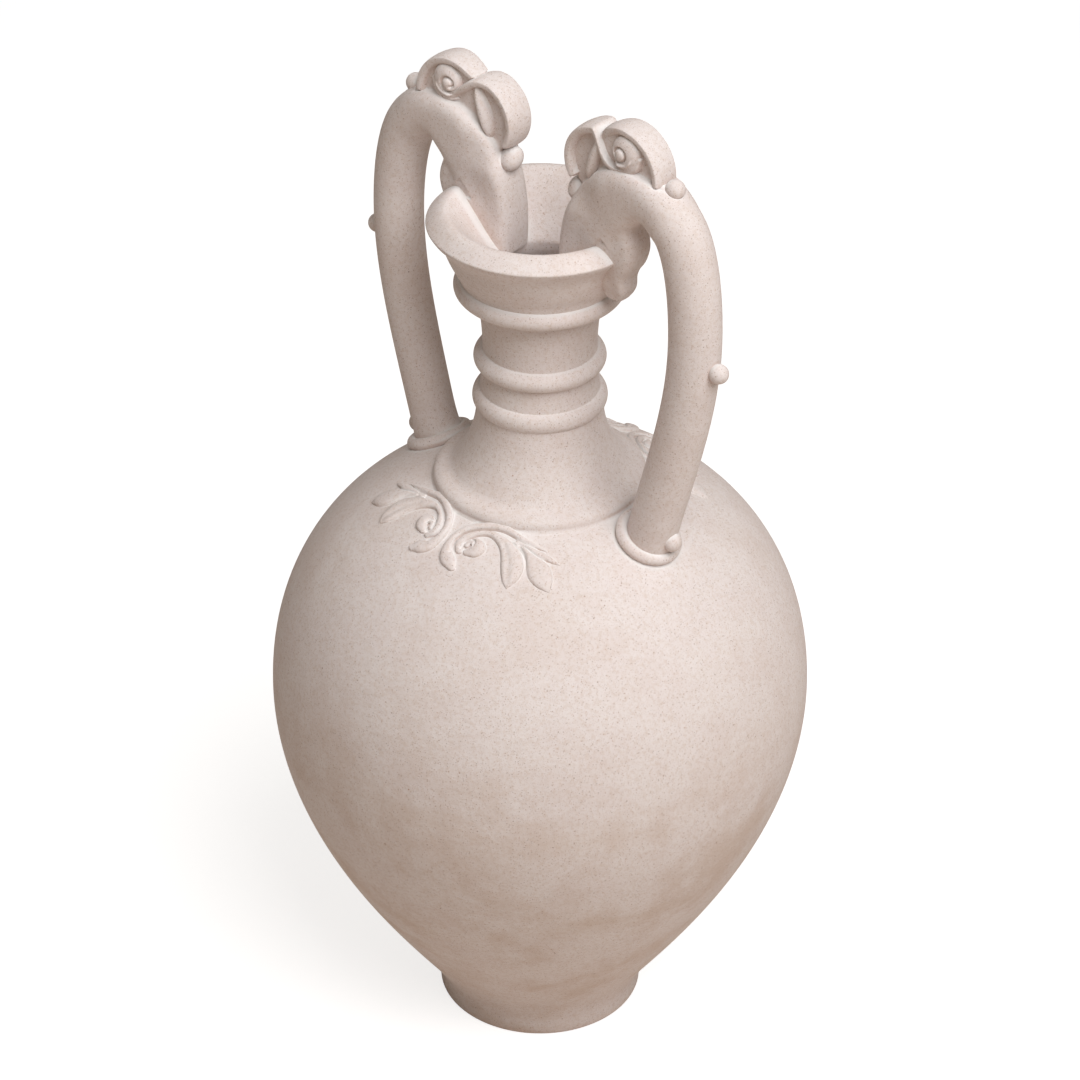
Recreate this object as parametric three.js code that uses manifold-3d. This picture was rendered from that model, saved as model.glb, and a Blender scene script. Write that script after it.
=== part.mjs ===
// Two-handled ceramic amphora vase with a dished mouth and dragon-head handles.
// Units are millimetres, +Z is up, and the origin is the centre of the foot where it stands.
// The vase is thrown and modelled as separate clay pieces that are luted together.
import * as THREE from 'three';
import { mergeVertices } from 'three/addons/utils/BufferGeometryUtils.js';
import Module from 'manifold-3d';

const wasm = await Module();
wasm.setup();

// Joints between neighbouring pieces
const CLEARANCE = 0.3;
const WALL = 8;
const LAP_HEIGHT = 6;

// Foot
const FOOT_RADIUS = 50;
const FOOT_TOP_RADIUS = 52.5;
const FOOT_HEIGHT = 17;
const FOOT_RECESS_RADIUS = 36;
const FOOT_RECESS_DEPTH = 4;
const FOOT_RECESS_BEVEL = 3;
const FOOT_KEY_RADIUS = 30;
const FOOT_KEY_HEIGHT = 4;
const FLOOR_THICKNESS = 12;

// Body outline
const BELLY_RADIUS = 129.4;
const BELLY_HEIGHT = 184;
const LOWER_SLOPE = 54;
const LOWER_REACH = 56;
const BELLY_LOWER_REACH = 62;
const BELLY_UPPER_REACH = 61;
const SHOULDER_RADIUS = 49;
const SHOULDER_HEIGHT = 299.5;
const SHOULDER_SLOPE = 17.2;
const SHOULDER_REACH = 49.7;

// Neck, measured up from the shoulder
const NECK_HEIGHT = 98;
const NECK_FOOT_RADIUS = 42.7;
const NECK_FOOT_HEIGHT = 6.5;
const NECK_FLARE_RADIUS = 29.6;
const NECK_FLARE_HEIGHT = 39;
const NECK_FLARE_PULL = [0.1, 0.42];
const NECK_WAIST_RADIUS = 26.5;
const NECK_TOP_RADIUS = 29.2;
const NECK_STEM_SHARES = [0.3, 0.65];
const NECK_SPIGOT_RADIUS = 34.7;
const NECK_SPIGOT_BORE = 27;
const BORE_RADIUS = 17;
const COLLAR_RADIUS = 49.3;
const COLLAR_HEIGHT = 6;

// Rings on the neck, measured up from the shoulder
const LOWER_RING_HEIGHT = 44.5;
const LOWER_RING_RADIUS = 31.5;
const UPPER_RING_HEIGHT = 65.5;
const UPPER_RING_RADIUS = 30.8;
const RING_HALF_HEIGHT = 4.9;
const RING_SEAT_DEPTH = 1.6;

// Mouth cup, measured up from the top of the neck
const CUP_KEY_RADIUS = 22;
const CUP_KEY_HEIGHT = 4;
const CUP_RING_RADIUS = 39.7;
const CUP_RING_HALF_HEIGHT = 4.6;
const CUP_SEAT_RADIUS = 34.6;
const CUP_WALL_RADIUS = 36.8;
const CUP_DISH_HEIGHT = 17.5;
const LIP_EDGE_RADIUS = 52.1;
const LIP_EDGE_HEIGHT = 37.4;
const LIP_THICKNESS = 3;
const LIP_CREST_RADIUS = 42.5;
const LIP_CREST_HEIGHT = 43.5;
const LIP_TOP_SHARE = 0.6;
const CUP_WALL_PULL = [0.27, 0.62];
const DISH_PULL = [0.62, 0.75];

// Handle stems: distance out from the axis, and height up from the shoulder
const STEM_RADIUS = 11.8;
const STEM_BASE_DISTANCE = 67.2;
const STEM_BASE_LEAN = 13;
const STEM_BASE_REACH = 38;
const STEM_WIDEST_DISTANCE = 90.3;
const STEM_WIDEST_HEIGHT = 108.5;
const STEM_MIDDLE_REACH = 40;
const STEM_TOP_REACH = 22;
const BASE_RING_RADIUS = 12.9;
const BASE_RING_THICKNESS = 2.9;
const BASE_RING_LIFT = 1.2;
const BEAD_RADIUS = 4.6;
const BEAD_SEAT = 2.2;
const BASE_BEAD_RISE = 7.6;
const MIDDLE_BEAD_RISE = 98;
const NAPE_BEAD_SHARE = 0.12;

// Both handles stand this far to the right of the vase's axis
const HANDLE_SHIFT = 2.2;

// Head body, placed out and up from the crest of the lip
const HEAD_JOINT_OUT = 35;
const HEAD_JOINT_UP = 21;
const HEAD_JOINT_TILT = 49;
const HEAD_JOINT_REACH = 12;
const CHEEK_REACH = 27;
const CHEEK_DEPTH = 15;
const MUZZLE_OUT = -15.5;
const MUZZLE_DROP = 24;
const MUZZLE_REACH = 46;
const MUZZLE_DEPTH = 11.2;
const MUZZLE_HALF_WIDTH = 9.6;
const MUZZLE_SQUARENESS = 3.4;
const BITE_UP = 5.5;
const BITE_SLOPE = 20;
const JAW_OUT = 7.9;
const JAW_UP = 17;
const JAW_TIP_OUT = 1.4;
const JAW_DROP = 28.4;
const JAW_DEPTH = 9.5;
const JAW_TIP_DEPTH = 7.2;
const JAW_HALF_WIDTH = 10.8;
const JAW_TIP_HALF_WIDTH = 7.6;

// Crests, eyes, leaves and ball, placed out and up from the crest of the lip
const CREST_HALF_WIDTH = 7.1;
const CREST_THICKNESS = 4.2;
const CREST_END_SHARE = 0.4;
const WEB_HALF_WIDTH = 4.2;
const WEB_ROOT_SHARE = 0.6;
const BROW_OUT = 8.2;
const BROW_UP = 39.9;
const BROW_RADIUS = 20.8;
const BROW_END = -6;
const SNOUT_OUT = -7.6;
const SNOUT_UP = 36.1;
const SNOUT_RADIUS = 18.6;
const SNOUT_END = 216;
const EYE_OUT = 10.7;
const EYE_UP = 49;
const EYE_RADIUS = 8;
const EYE_HEIGHT = 4.4;
// Outline of an eye: shares of its radius and its height
const EYE_OUTLINE = [[0, 0], [1, 0], [1, 0.6], [0.9, 0.9], [0.72, 0.7], [0.43, 1], [0, 1.1]];
const LEAF_OUT = -16.5;
const LEAF_UP = 26.5;
const LEAF_LENGTH = 27;
const LEAF_TILT = 71;
const LEAF_HALF_WIDTH = 2.9;
const LEAF_HEIGHT = 3.4;
const LEAF_END_SHARE = 0.08;
// Section of a leaf: shares of its half width and its height
const LEAF_SECTION = [[-1, 0], [1, 0], [0.7, 0.7], [0, 1], [-0.7, 0.7]];
const BALL_OUT = -21.8;
const BALL_UP = 18.5;
const BALL_RADIUS = 4.9;

// Relief sprays on the shoulder, each in two mirrored halves
const SPRAY_TURN = -2.5;
const SPRAY_CHART_RADIUS = 60;
const SPRAY_DEPTH = 33;
const SPRAY_SINK = 1;
const RIBBON_HEIGHT = 2.3;
const SPRAY_LEAF_HEIGHT = 1.9;
// Section of a stroke: shares of its half width and its height
const STROKE_SECTION = [[-1, 0], [1, 0], [0.55, 1], [-0.55, 1]];
// Middle lines of a half: degrees round from the spray's centre, then the distance down from
// the collar and the half width, both as shares of the spray's depth
const RIBBON_LINE = [
  [6, 0.82, 0.12], [5.2, 0.61, 0.09], [5, 0.42, 0.085], [6.2, 0.26, 0.088], [9.5, 0.145, 0.09],
  [14, 0.088, 0.088], [20, 0.094, 0.082], [27, 0.11, 0.079], [33, 0.18, 0.067],
  [40, 0.29, 0.04], [47.5, 0.38, 0.012],
];
const SPIRAL_LINE = [
  [6.5, 0.485, 0.042], [9.5, 0.418, 0.061], [12, 0.37, 0.07], [15.8, 0.373, 0.073],
  [17.2, 0.461, 0.076], [14.8, 0.539, 0.073], [12, 0.515, 0.064],
];
const LEAF_LINES = [
  [[19, 0.15, 0.06], [25, 0.3, 0.12], [30, 0.515, 0.14], [32.5, 0.73, 0.12], [32.3, 0.97, 0.012]],
  [[26, 0.197, 0.061], [36, 0.394, 0.097], [41, 0.606, 0.12], [44, 0.818, 0.088], [46, 1, 0.012]],
  [[30, 0.182, 0.061], [38, 0.348, 0.055], [44, 0.47, 0.048], [49.5, 0.576, 0.012]],
];

// Facets
const ROUND_SIDES = 32;
const BODY_STEPS = 8;
const CURVE_STEPS = 4;
const COIL_STEPS = 6;
const STEM_SIDES = 12;
const STEM_STEPS = 16;
const HEAD_STEPS = 10;
const JAW_STEPS = 7;
const CREST_STEPS = 9;
const LEAF_STEPS = 5;
const STROKE_STEPS = 1.3;
const BEAD_SIDES = 10;
const BEAD_RINGS = 6;

const radians = THREE.MathUtils.degToRad;
const lerp = THREE.MathUtils.lerp;
const rz = (r, z) => new THREE.Vector2(r, z);

// Places that follow from the sizes above
const neckTop = SHOULDER_HEIGHT + NECK_HEIGHT;
const flareTop = SHOULDER_HEIGHT + NECK_FLARE_HEIGHT;
const lipCrest = rz(LIP_CREST_RADIUS, neckTop + LIP_CREST_HEIGHT);
const bodyFoot = rz(FOOT_TOP_RADIUS, FOOT_HEIGHT + CLEARANCE);
const belly = rz(BELLY_RADIUS, BELLY_HEIGHT);
const shoulderEdge = rz(SHOULDER_RADIUS, SHOULDER_HEIGHT);

// Point reached from a start point by going a distance at an angle above the horizontal.
function along(start, angle, distance) {
  return rz(
    start.x + distance * Math.cos(radians(angle)),
    start.y + distance * Math.sin(radians(angle)),
  );
}

// Point inside the box between two corners, at a share of the way across and up.
function between(from, to, [across, up]) {
  return rz(lerp(from.x, to.x, across), lerp(from.y, to.y, up));
}

// Plain closed mesh: positions and shared corners only, with its faces turned outwards.
function closed(geometry) {
  const bare = new THREE.BufferGeometry();
  bare.setAttribute('position', geometry.getAttribute('position').clone());
  if (geometry.index) bare.setIndex(geometry.index.clone());
  const merged = mergeVertices(bare, 1e-4);
  const position = merged.getAttribute('position');
  const [a, b, c] = [new THREE.Vector3(), new THREE.Vector3(), new THREE.Vector3()];
  const faces = [];
  let volume = 0;
  for (let i = 0; i < merged.index.count; i += 3) {
    const face = [0, 1, 2].map((k) => merged.index.getX(i + k));
    if (new Set(face).size < 3) continue;
    a.fromBufferAttribute(position, face[0]);
    b.fromBufferAttribute(position, face[1]);
    c.fromBufferAttribute(position, face[2]);
    volume += a.dot(b.cross(c));
    faces.push(face);
  }
  return merged.setIndex(faces.flatMap(([i, j, k]) => (volume < 0 ? [i, k, j] : [i, j, k])));
}

// Solid for cutting and joining, from a geometry.
function toSolid(geometry) {
  const mesh = closed(geometry);
  return new wasm.Manifold(new wasm.Mesh({
    numProp: 3,
    vertProperties: new Float32Array(mesh.getAttribute('position').array),
    triVerts: new Uint32Array(mesh.index.array),
  }));
}

// Geometry from a solid.
function toGeometry(solid) {
  const mesh = solid.getMesh();
  const geometry = new THREE.BufferGeometry();
  geometry.setAttribute('position', new THREE.BufferAttribute(mesh.vertProperties, 3));
  return geometry.setIndex(new THREE.BufferAttribute(mesh.triVerts, 1));
}

// Mesh with a name and its own ceramic material.
function piece(name, geometry) {
  const clay = new THREE.MeshStandardMaterial({ color: 0xdccdc6, roughness: 0.9, metalness: 0 });
  const mesh = new THREE.Mesh(closed(geometry), clay);
  mesh.name = name;
  return mesh;
}

// Outline of (radius, height) points turned about the vertical axis.
function turned(outline) {
  return new THREE.LatheGeometry(outline, ROUND_SIDES).rotateX(Math.PI / 2);
}

// The same for an outline that closes on itself away from the axis.
function turnedLoop(outline) {
  return turned([...outline, outline[0].clone()]);
}

// Points at a steady distance to the outer side of a curve that climbs the wall.
function besideCurve(curve, distance, steps) {
  return curve.getSpacedPoints(steps).map((point, i) => {
    const tangent = curve.getTangentAt(i / steps);
    return rz(point.x + tangent.y * distance, point.y - tangent.x * distance);
  });
}

// A closed outline moved outwards by a distance, corner by corner.
function grownLoop(outline, distance) {
  const count = outline.length;
  const area = outline.reduce((sum, p, i) => sum + p.cross(outline[(i + 1) % count]), 0);
  const outward = area > 0 ? distance : -distance;
  return outline.map((p, i) => {
    const before = p.clone().sub(outline[(i + count - 1) % count]).normalize();
    const after = outline[(i + 1) % count].clone().sub(p).normalize();
    const normal = rz(before.y + after.y, -before.x - after.x).normalize();
    const spread = Math.max(0.5, normal.dot(rz(after.y, -after.x)));
    return p.clone().addScaledVector(normal, outward / spread);
  });
}

// Rings of points joined into a skin, with a flat fan over each end.
function loft(rings) {
  const sides = rings[0].length;
  const middle = (ring) => ring.reduce((sum, p) => sum.add(p), new THREE.Vector3())
    .divideScalar(sides);
  const points = [...rings.flat(), middle(rings[0]), middle(rings.at(-1))];
  const last = (rings.length - 1) * sides;
  const faces = [];
  for (let j = 0; j < sides; j += 1) {
    const next = (j + 1) % sides;
    for (let start = 0; start < last; start += sides) {
      const [a, b] = [start + j, start + next];
      faces.push(a, b, b + sides, a, b + sides, a + sides);
    }
    faces.push(points.length - 2, next, j);
    faces.push(points.length - 1, last + j, last + next);
  }
  return new THREE.BufferGeometry().setFromPoints(points).setIndex(faces);
}

// Body outline: foot to belly, then belly to the edge of the shoulder.
const lowerCurve = new THREE.CubicBezierCurve(
  bodyFoot,
  along(bodyFoot, LOWER_SLOPE, LOWER_REACH),
  along(belly, -90, BELLY_LOWER_REACH),
  belly,
);
const upperCurve = new THREE.CubicBezierCurve(
  belly,
  along(belly, 90, BELLY_UPPER_REACH),
  along(shoulderEdge, -SHOULDER_SLOPE, SHOULDER_REACH),
  shoulderEdge,
);

// Foot: a turned disc with a hollow underside and a raised key on top.
function foot() {
  return turned([
    rz(0, FOOT_RECESS_DEPTH),
    rz(FOOT_RECESS_RADIUS, FOOT_RECESS_DEPTH),
    rz(FOOT_RECESS_RADIUS + FOOT_RECESS_BEVEL, 0),
    rz(FOOT_RADIUS, 0),
    rz(FOOT_TOP_RADIUS, FOOT_HEIGHT),
    rz(FOOT_KEY_RADIUS, FOOT_HEIGHT),
    rz(FOOT_KEY_RADIUS, FOOT_HEIGHT + FOOT_KEY_HEIGHT),
    rz(0, FOOT_HEIGHT + FOOT_KEY_HEIGHT),
  ]);
}

// Lower body: bowl from the foot to the belly, with a tongue on its inner rim.
function lowerBody() {
  const floor = bodyFoot.y + FLOOR_THICKNESS;
  const keyTop = FOOT_HEIGHT + FOOT_KEY_HEIGHT + CLEARANCE;
  const inside = besideCurve(lowerCurve, -WALL, BODY_STEPS).filter((p) => p.y > floor);
  const floorRadius = inside[0].x - (inside[0].y - floor) / Math.tan(radians(LOWER_SLOPE));
  return turned([
    rz(0, keyTop),
    rz(FOOT_KEY_RADIUS + CLEARANCE, keyTop),
    rz(FOOT_KEY_RADIUS + CLEARANCE, bodyFoot.y),
    ...lowerCurve.getSpacedPoints(BODY_STEPS),
    rz(BELLY_RADIUS - WALL / 2, BELLY_HEIGHT),
    rz(BELLY_RADIUS - WALL / 2, BELLY_HEIGHT + LAP_HEIGHT),
    rz(BELLY_RADIUS - WALL, BELLY_HEIGHT + LAP_HEIGHT),
    ...inside.reverse(),
    rz(floorRadius, floor),
    rz(0, floor),
  ]);
}

// Upper body: shell from the belly to the shoulder, rebated to sit over the tongue.
function upperBody() {
  const seam = BELLY_HEIGHT + CLEARANCE;
  const rebateTop = BELLY_HEIGHT + LAP_HEIGHT + CLEARANCE;
  const rebateRadius = BELLY_RADIUS - WALL / 2 + CLEARANCE;
  const outside = upperCurve.getSpacedPoints(BODY_STEPS);
  outside[0] = rz(BELLY_RADIUS, seam);
  const inside = besideCurve(upperCurve, -WALL, BODY_STEPS).filter((p) => p.y > rebateTop);
  return turnedLoop([
    ...outside,
    rz(NECK_SPIGOT_RADIUS + CLEARANCE, SHOULDER_HEIGHT),
    rz(NECK_SPIGOT_RADIUS + CLEARANCE, inside.at(-1).y),
    ...inside.reverse(),
    rz(BELLY_RADIUS - WALL, rebateTop),
    rz(rebateRadius, rebateTop),
    rz(rebateRadius, seam),
  ]);
}

// Outer radius of the waisted part of the neck at a height.
function neckRadius(height) {
  const t = (height - flareTop) / (neckTop - flareTop);
  const pull = 2 * NECK_WAIST_RADIUS - (NECK_FLARE_RADIUS + NECK_TOP_RADIUS) / 2;
  return (1 - t) ** 2 * NECK_FLARE_RADIUS + 2 * t * (1 - t) * pull + t ** 2 * NECK_TOP_RADIUS;
}

// Radius of the seat that a neck ring is pressed into.
function ringSeat(height) {
  return neckRadius(height) - RING_SEAT_DEPTH;
}

// Neck: flared foot, waisted stem with two seats for rings, and a spigot at both ends.
function neck() {
  const base = SHOULDER_HEIGHT + CLEARANCE;
  const footTop = SHOULDER_HEIGHT + NECK_FOOT_HEIGHT;
  const spigotEnd = SHOULDER_HEIGHT - WALL;
  const half = RING_HALF_HEIGHT + CLEARANCE;
  const flare = new THREE.QuadraticBezierCurve(
    rz(NECK_FOOT_RADIUS, footTop),
    between(rz(NECK_FLARE_RADIUS, footTop), rz(NECK_FOOT_RADIUS, flareTop), NECK_FLARE_PULL),
    rz(NECK_FLARE_RADIUS, flareTop),
  );
  const seats = [LOWER_RING_HEIGHT, UPPER_RING_HEIGHT].flatMap((up) => {
    const middle = SHOULDER_HEIGHT + up;
    return [
      rz(neckRadius(middle - half), middle - half),
      rz(ringSeat(middle), middle - half),
      rz(ringSeat(middle), middle + half),
      rz(neckRadius(middle + half), middle + half),
    ];
  });
  const stem = NECK_STEM_SHARES.map((share) => {
    const height = lerp(SHOULDER_HEIGHT + UPPER_RING_HEIGHT + half, neckTop, share);
    return rz(neckRadius(height), height);
  });
  const bore = new THREE.QuadraticBezierCurve(
    rz(BORE_RADIUS, flareTop),
    rz(BORE_RADIUS, footTop),
    rz(NECK_SPIGOT_BORE, base),
  );
  return turnedLoop([
    rz(NECK_SPIGOT_BORE, spigotEnd),
    rz(NECK_SPIGOT_RADIUS, spigotEnd),
    rz(NECK_SPIGOT_RADIUS, base),
    rz(NECK_FOOT_RADIUS, base),
    ...flare.getPoints(CURVE_STEPS),
    ...seats,
    ...stem,
    rz(NECK_TOP_RADIUS, neckTop),
    rz(CUP_KEY_RADIUS, neckTop),
    rz(CUP_KEY_RADIUS, neckTop + CUP_KEY_HEIGHT),
    rz(BORE_RADIUS, neckTop + CUP_KEY_HEIGHT),
    ...bore.getPoints(CURVE_STEPS),
  ]);
}

// Coil of clay laid round a seat: flat inside, half round outside.
function coil(seatRadius, outerRadius, middle, halfHeight) {
  const inner = seatRadius + CLEARANCE;
  const depth = outerRadius - inner;
  const quarter = Math.PI / 2;
  const round = new THREE.EllipseCurve(inner, middle, depth, halfHeight, -quarter, quarter);
  return turnedLoop(round.getPoints(COIL_STEPS));
}

// Ring on the neck at a height above the shoulder.
function neckRing(up, radius) {
  const middle = SHOULDER_HEIGHT + up;
  return coil(ringSeat(middle), radius, middle, RING_HALF_HEIGHT);
}

// Ring round the foot of the cup.
function cupRing() {
  const middle = neckTop + 2 * CLEARANCE + CUP_RING_HALF_HEIGHT;
  return coil(CUP_SEAT_RADIUS, CUP_RING_RADIUS, middle, CUP_RING_HALF_HEIGHT);
}

// Collar outline: a quarter-round ring on the shoulder round the foot of the neck.
function collarOutline() {
  const inner = NECK_FOOT_RADIUS + CLEARANCE;
  const base = SHOULDER_HEIGHT + CLEARANCE;
  const depth = COLLAR_RADIUS - inner;
  const round = new THREE.EllipseCurve(inner, base, depth, COLLAR_HEIGHT, 0, Math.PI / 2);
  return [rz(inner, base), ...round.getPoints(CURVE_STEPS)];
}

// Mouth cup outline: seat for its ring, hollow wall, sloping lip and dished inside.
function cupOutline() {
  const base = neckTop + CLEARANCE;
  const seatTop = base + 2 * (CUP_RING_HALF_HEIGHT + CLEARANCE);
  const keyTop = base + CUP_KEY_HEIGHT;
  const edge = rz(LIP_EDGE_RADIUS, neckTop + LIP_EDGE_HEIGHT);
  const under = rz(edge.x - LIP_THICKNESS / 2, edge.y - LIP_THICKNESS);
  const inner = along(lipCrest, -150, LIP_THICKNESS / 2);
  const dishFloor = rz(BORE_RADIUS, neckTop + CUP_DISH_HEIGHT);
  const wall = new THREE.QuadraticBezierCurve(
    rz(CUP_WALL_RADIUS, seatTop),
    between(rz(CUP_WALL_RADIUS, seatTop), under, CUP_WALL_PULL),
    under,
  );
  const lip = new THREE.QuadraticBezierCurve(
    edge,
    rz(lerp(edge.x, lipCrest.x, LIP_TOP_SHARE), lipCrest.y),
    lipCrest,
  );
  const dish = new THREE.QuadraticBezierCurve(
    inner,
    between(dishFloor, inner, DISH_PULL),
    dishFloor,
  );
  return [
    rz(BORE_RADIUS, keyTop),
    rz(CUP_KEY_RADIUS + CLEARANCE, keyTop),
    rz(CUP_KEY_RADIUS + CLEARANCE, base),
    rz(CUP_SEAT_RADIUS, base),
    rz(CUP_SEAT_RADIUS, seatTop),
    ...wall.getPoints(CURVE_STEPS),
    ...lip.getPoints(CURVE_STEPS),
    ...dish.getPoints(CURVE_STEPS),
  ];
}

// Solids that cut the joint clearance round the cup, the collar and the shoulder.
const cupCutter = toSolid(turnedLoop(grownLoop(cupOutline(), CLEARANCE)));
const collarCutter = toSolid(turnedLoop(grownLoop(collarOutline(), CLEARANCE)));
const shoulderCutter = toSolid(turned([
  rz(0, BELLY_HEIGHT),
  ...besideCurve(upperCurve, CLEARANCE, BODY_STEPS),
  rz(0, SHOULDER_HEIGHT + CLEARANCE),
]));

// Share of a curve's length at which a measure, steadily rising along it, reaches a value.
function shareWhere(curve, measure, value) {
  let [low, high] = [0, 1];
  for (let i = 0; i < 40; i += 1) {
    const middle = (low + high) / 2;
    if (measure(curve.getPointAt(middle)) < value) low = middle;
    else high = middle;
  }
  return low;
}

// Foot of a stem: its place on the shoulder, and the shoulder's slope there.
function stemFoot(shift) {
  const share = shareWhere(upperCurve, (p) => -p.x, -(STEM_BASE_DISTANCE + shift));
  return { base: upperCurve.getPointAt(share), slope: upperCurve.getTangentAt(share) };
}

// Stem centreline: up from the shoulder, widest beside the cup, then in to the head's joint.
function stemPath(base, shift, joint) {
  const widest = rz(STEM_WIDEST_DISTANCE + shift, SHOULDER_HEIGHT + STEM_WIDEST_HEIGHT);
  const lean = 90 - STEM_BASE_LEAN;
  const path = new THREE.CurvePath();
  path.add(new THREE.CubicBezierCurve(
    along(base, lean, -STEM_RADIUS),
    along(base, lean, STEM_BASE_REACH),
    along(widest, -90, STEM_MIDDLE_REACH),
    widest,
  ));
  path.add(new THREE.CubicBezierCurve(
    widest,
    along(widest, 90, STEM_TOP_REACH),
    along(joint, 90 + HEAD_JOINT_TILT, -HEAD_JOINT_REACH),
    joint,
  ));
  return path;
}

// Round bar of a radius along a stem centreline.
function bar(path, radius) {
  const section = new THREE.Shape().absarc(0, 0, radius, 0, 2 * Math.PI, false);
  const spine = new THREE.CurvePath();
  path.curves.forEach(({ v0, v1, v2, v3 }) => {
    const points = [v0, v1, v2, v3].map((p) => new THREE.Vector3(p.x, 0, p.y));
    spine.add(new THREE.CubicBezierCurve3(...points));
  });
  return toSolid(new THREE.ExtrudeGeometry(section, {
    steps: STEM_STEPS,
    curveSegments: STEM_SIDES / 2,
    bevelEnabled: false,
    extrudePath: spine,
  }));
}

// Ball at a place in the handle's plane, cut to sit on what carries it.
function seatedBall(place, radius, ...seats) {
  const ball = new THREE.SphereGeometry(radius, BEAD_SIDES, BEAD_RINGS).rotateX(Math.PI / 2);
  ball.translate(place.x, 0, place.y);
  return seats.reduce((solid, seat) => solid.subtract(seat), toSolid(ball));
}

// Place on the outer side of a curve in the handle's plane, at a share of its length.
function beside(curve, share, distance) {
  const point = curve.getPointAt(share);
  const tangent = curve.getTangentAt(share);
  return rz(point.x + tangent.y * distance, point.y - tangent.x * distance);
}

// Base ring: a coil round the foot of the stem, lying on the slope of the shoulder.
function baseRing(foot, grow) {
  const { base, slope } = foot;
  const lift = rz(slope.y, -slope.x).multiplyScalar(BASE_RING_LIFT);
  const thickness = BASE_RING_THICKNESS + grow;
  const ring = new THREE.TorusGeometry(BASE_RING_RADIUS, thickness, COIL_STEPS, 2 * STEM_SIDES);
  ring.rotateY(Math.atan2(slope.y, -slope.x));
  return toSolid(ring.translate(base.x + lift.x, 0, base.y + lift.y));
}

// Rounded ring of points, square to a curve that lies in the handle's plane.
function sectionRing(curve, t, halfDepth, halfWidth, squareness) {
  const centre = curve.getPoint(t);
  const tangent = curve.getTangent(t);
  const swell = (v) => Math.sign(v) * Math.abs(v) ** (2 / squareness);
  return Array.from({ length: STEM_SIDES }, (_, i) => {
    const turn = 2 * Math.PI * i / STEM_SIDES;
    const depth = halfDepth * swell(Math.cos(turn));
    const width = halfWidth * swell(Math.sin(turn));
    return new THREE.Vector3(centre.x - tangent.y * depth, width, centre.y + tangent.x * depth);
  });
}

// Middle line of the head: from the stem's end over the cheek and down to the muzzle.
function headSpine(origin) {
  const tilt = 90 + HEAD_JOINT_TILT;
  const joint = along(rz(origin.x + HEAD_JOINT_OUT, origin.y + HEAD_JOINT_UP), tilt, CLEARANCE);
  const muzzle = rz(origin.x + MUZZLE_OUT, origin.y - MUZZLE_DROP);
  return new THREE.CubicBezierCurve(
    joint,
    along(joint, tilt, CHEEK_REACH),
    along(muzzle, 90, MUZZLE_REACH),
    muzzle,
  );
}

// Head body: round where it meets the stem, deepest at the cheek, square at the muzzle.
function headBody(origin, grow) {
  const spine = headSpine(origin);
  const cheekSwell = CHEEK_DEPTH - (STEM_RADIUS + MUZZLE_DEPTH) / 2;
  return toSolid(loft(Array.from({ length: HEAD_STEPS + 1 }, (_, i) => {
    const t = i / HEAD_STEPS;
    return sectionRing(
      spine,
      t,
      lerp(STEM_RADIUS, MUZZLE_DEPTH, t) + cheekSwell * Math.sin(Math.PI * t) + grow,
      lerp(STEM_RADIUS, MUZZLE_HALF_WIDTH, t) + grow,
      lerp(2, MUZZLE_SQUARENESS, t),
    );
  })));
}

// Lower jaw: from under the cheek down the outside of the cup to a thin tip.
function jawBody(origin) {
  const top = rz(origin.x + JAW_OUT, origin.y + JAW_UP);
  const tip = rz(origin.x + JAW_TIP_OUT, origin.y - JAW_DROP);
  const spine = new THREE.QuadraticBezierCurve(top, rz(top.x, (top.y + tip.y) / 2), tip);
  return toSolid(loft(Array.from({ length: JAW_STEPS + 1 }, (_, i) => {
    const t = i / JAW_STEPS;
    return sectionRing(
      spine,
      t,
      lerp(JAW_DEPTH, JAW_TIP_DEPTH, t ** 2),
      lerp(JAW_HALF_WIDTH, JAW_TIP_HALF_WIDTH, t ** 3),
      2,
    );
  })));
}

// Flat plate in the handle's plane, centred on that plane.
function plate(outline, halfWidth) {
  const shape = new THREE.Shape(outline);
  const slab = new THREE.ExtrudeGeometry(shape, { depth: 2 * halfWidth, bevelEnabled: false });
  return toSolid(slab.translate(0, 0, -halfWidth).rotateX(Math.PI / 2));
}

// Everything under the bite and outside the crest of the lip, drawn back by a distance.
function underBite(origin, back) {
  const reach = JAW_DROP + HEAD_JOINT_OUT;
  const start = rz(origin.x + back, origin.y + BITE_UP - back);
  const outline = [
    start,
    along(start, BITE_SLOPE, reach),
    rz(start.x + reach, start.y - reach),
    rz(start.x, start.y - reach),
  ];
  return plate(outline, 2 * JAW_HALF_WIDTH);
}

// Points on an arc between two angles in degrees, at a radius that may change on the way.
function arc(centre, radiusAt, from, to) {
  return Array.from({ length: CREST_STEPS + 1 }, (_, i) => (
    along(centre, lerp(from, to, i / CREST_STEPS), radiusAt(i / CREST_STEPS))
  ));
}

// Strap of clay bent to an arc: thick in the middle, thin at its ends, grown by a distance.
function strap(centre, radius, from, to, grow) {
  const spare = THREE.MathUtils.radToDeg(grow / radius);
  const thickness = (t) => CREST_THICKNESS * lerp(CREST_END_SHARE, 1, Math.sin(Math.PI * t));
  const outer = arc(centre, () => radius + grow, from - spare, to + spare);
  const inner = arc(centre, (t) => radius - thickness(t) - grow, from - spare, to + spare);
  return plate([...outer, ...inner.reverse()], CREST_HALF_WIDTH + grow);
}

// Angle in degrees from a centre to a point.
function bearing(centre, point) {
  return THREE.MathUtils.radToDeg(Math.atan2(point.y - centre.y, point.x - centre.x));
}

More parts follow.
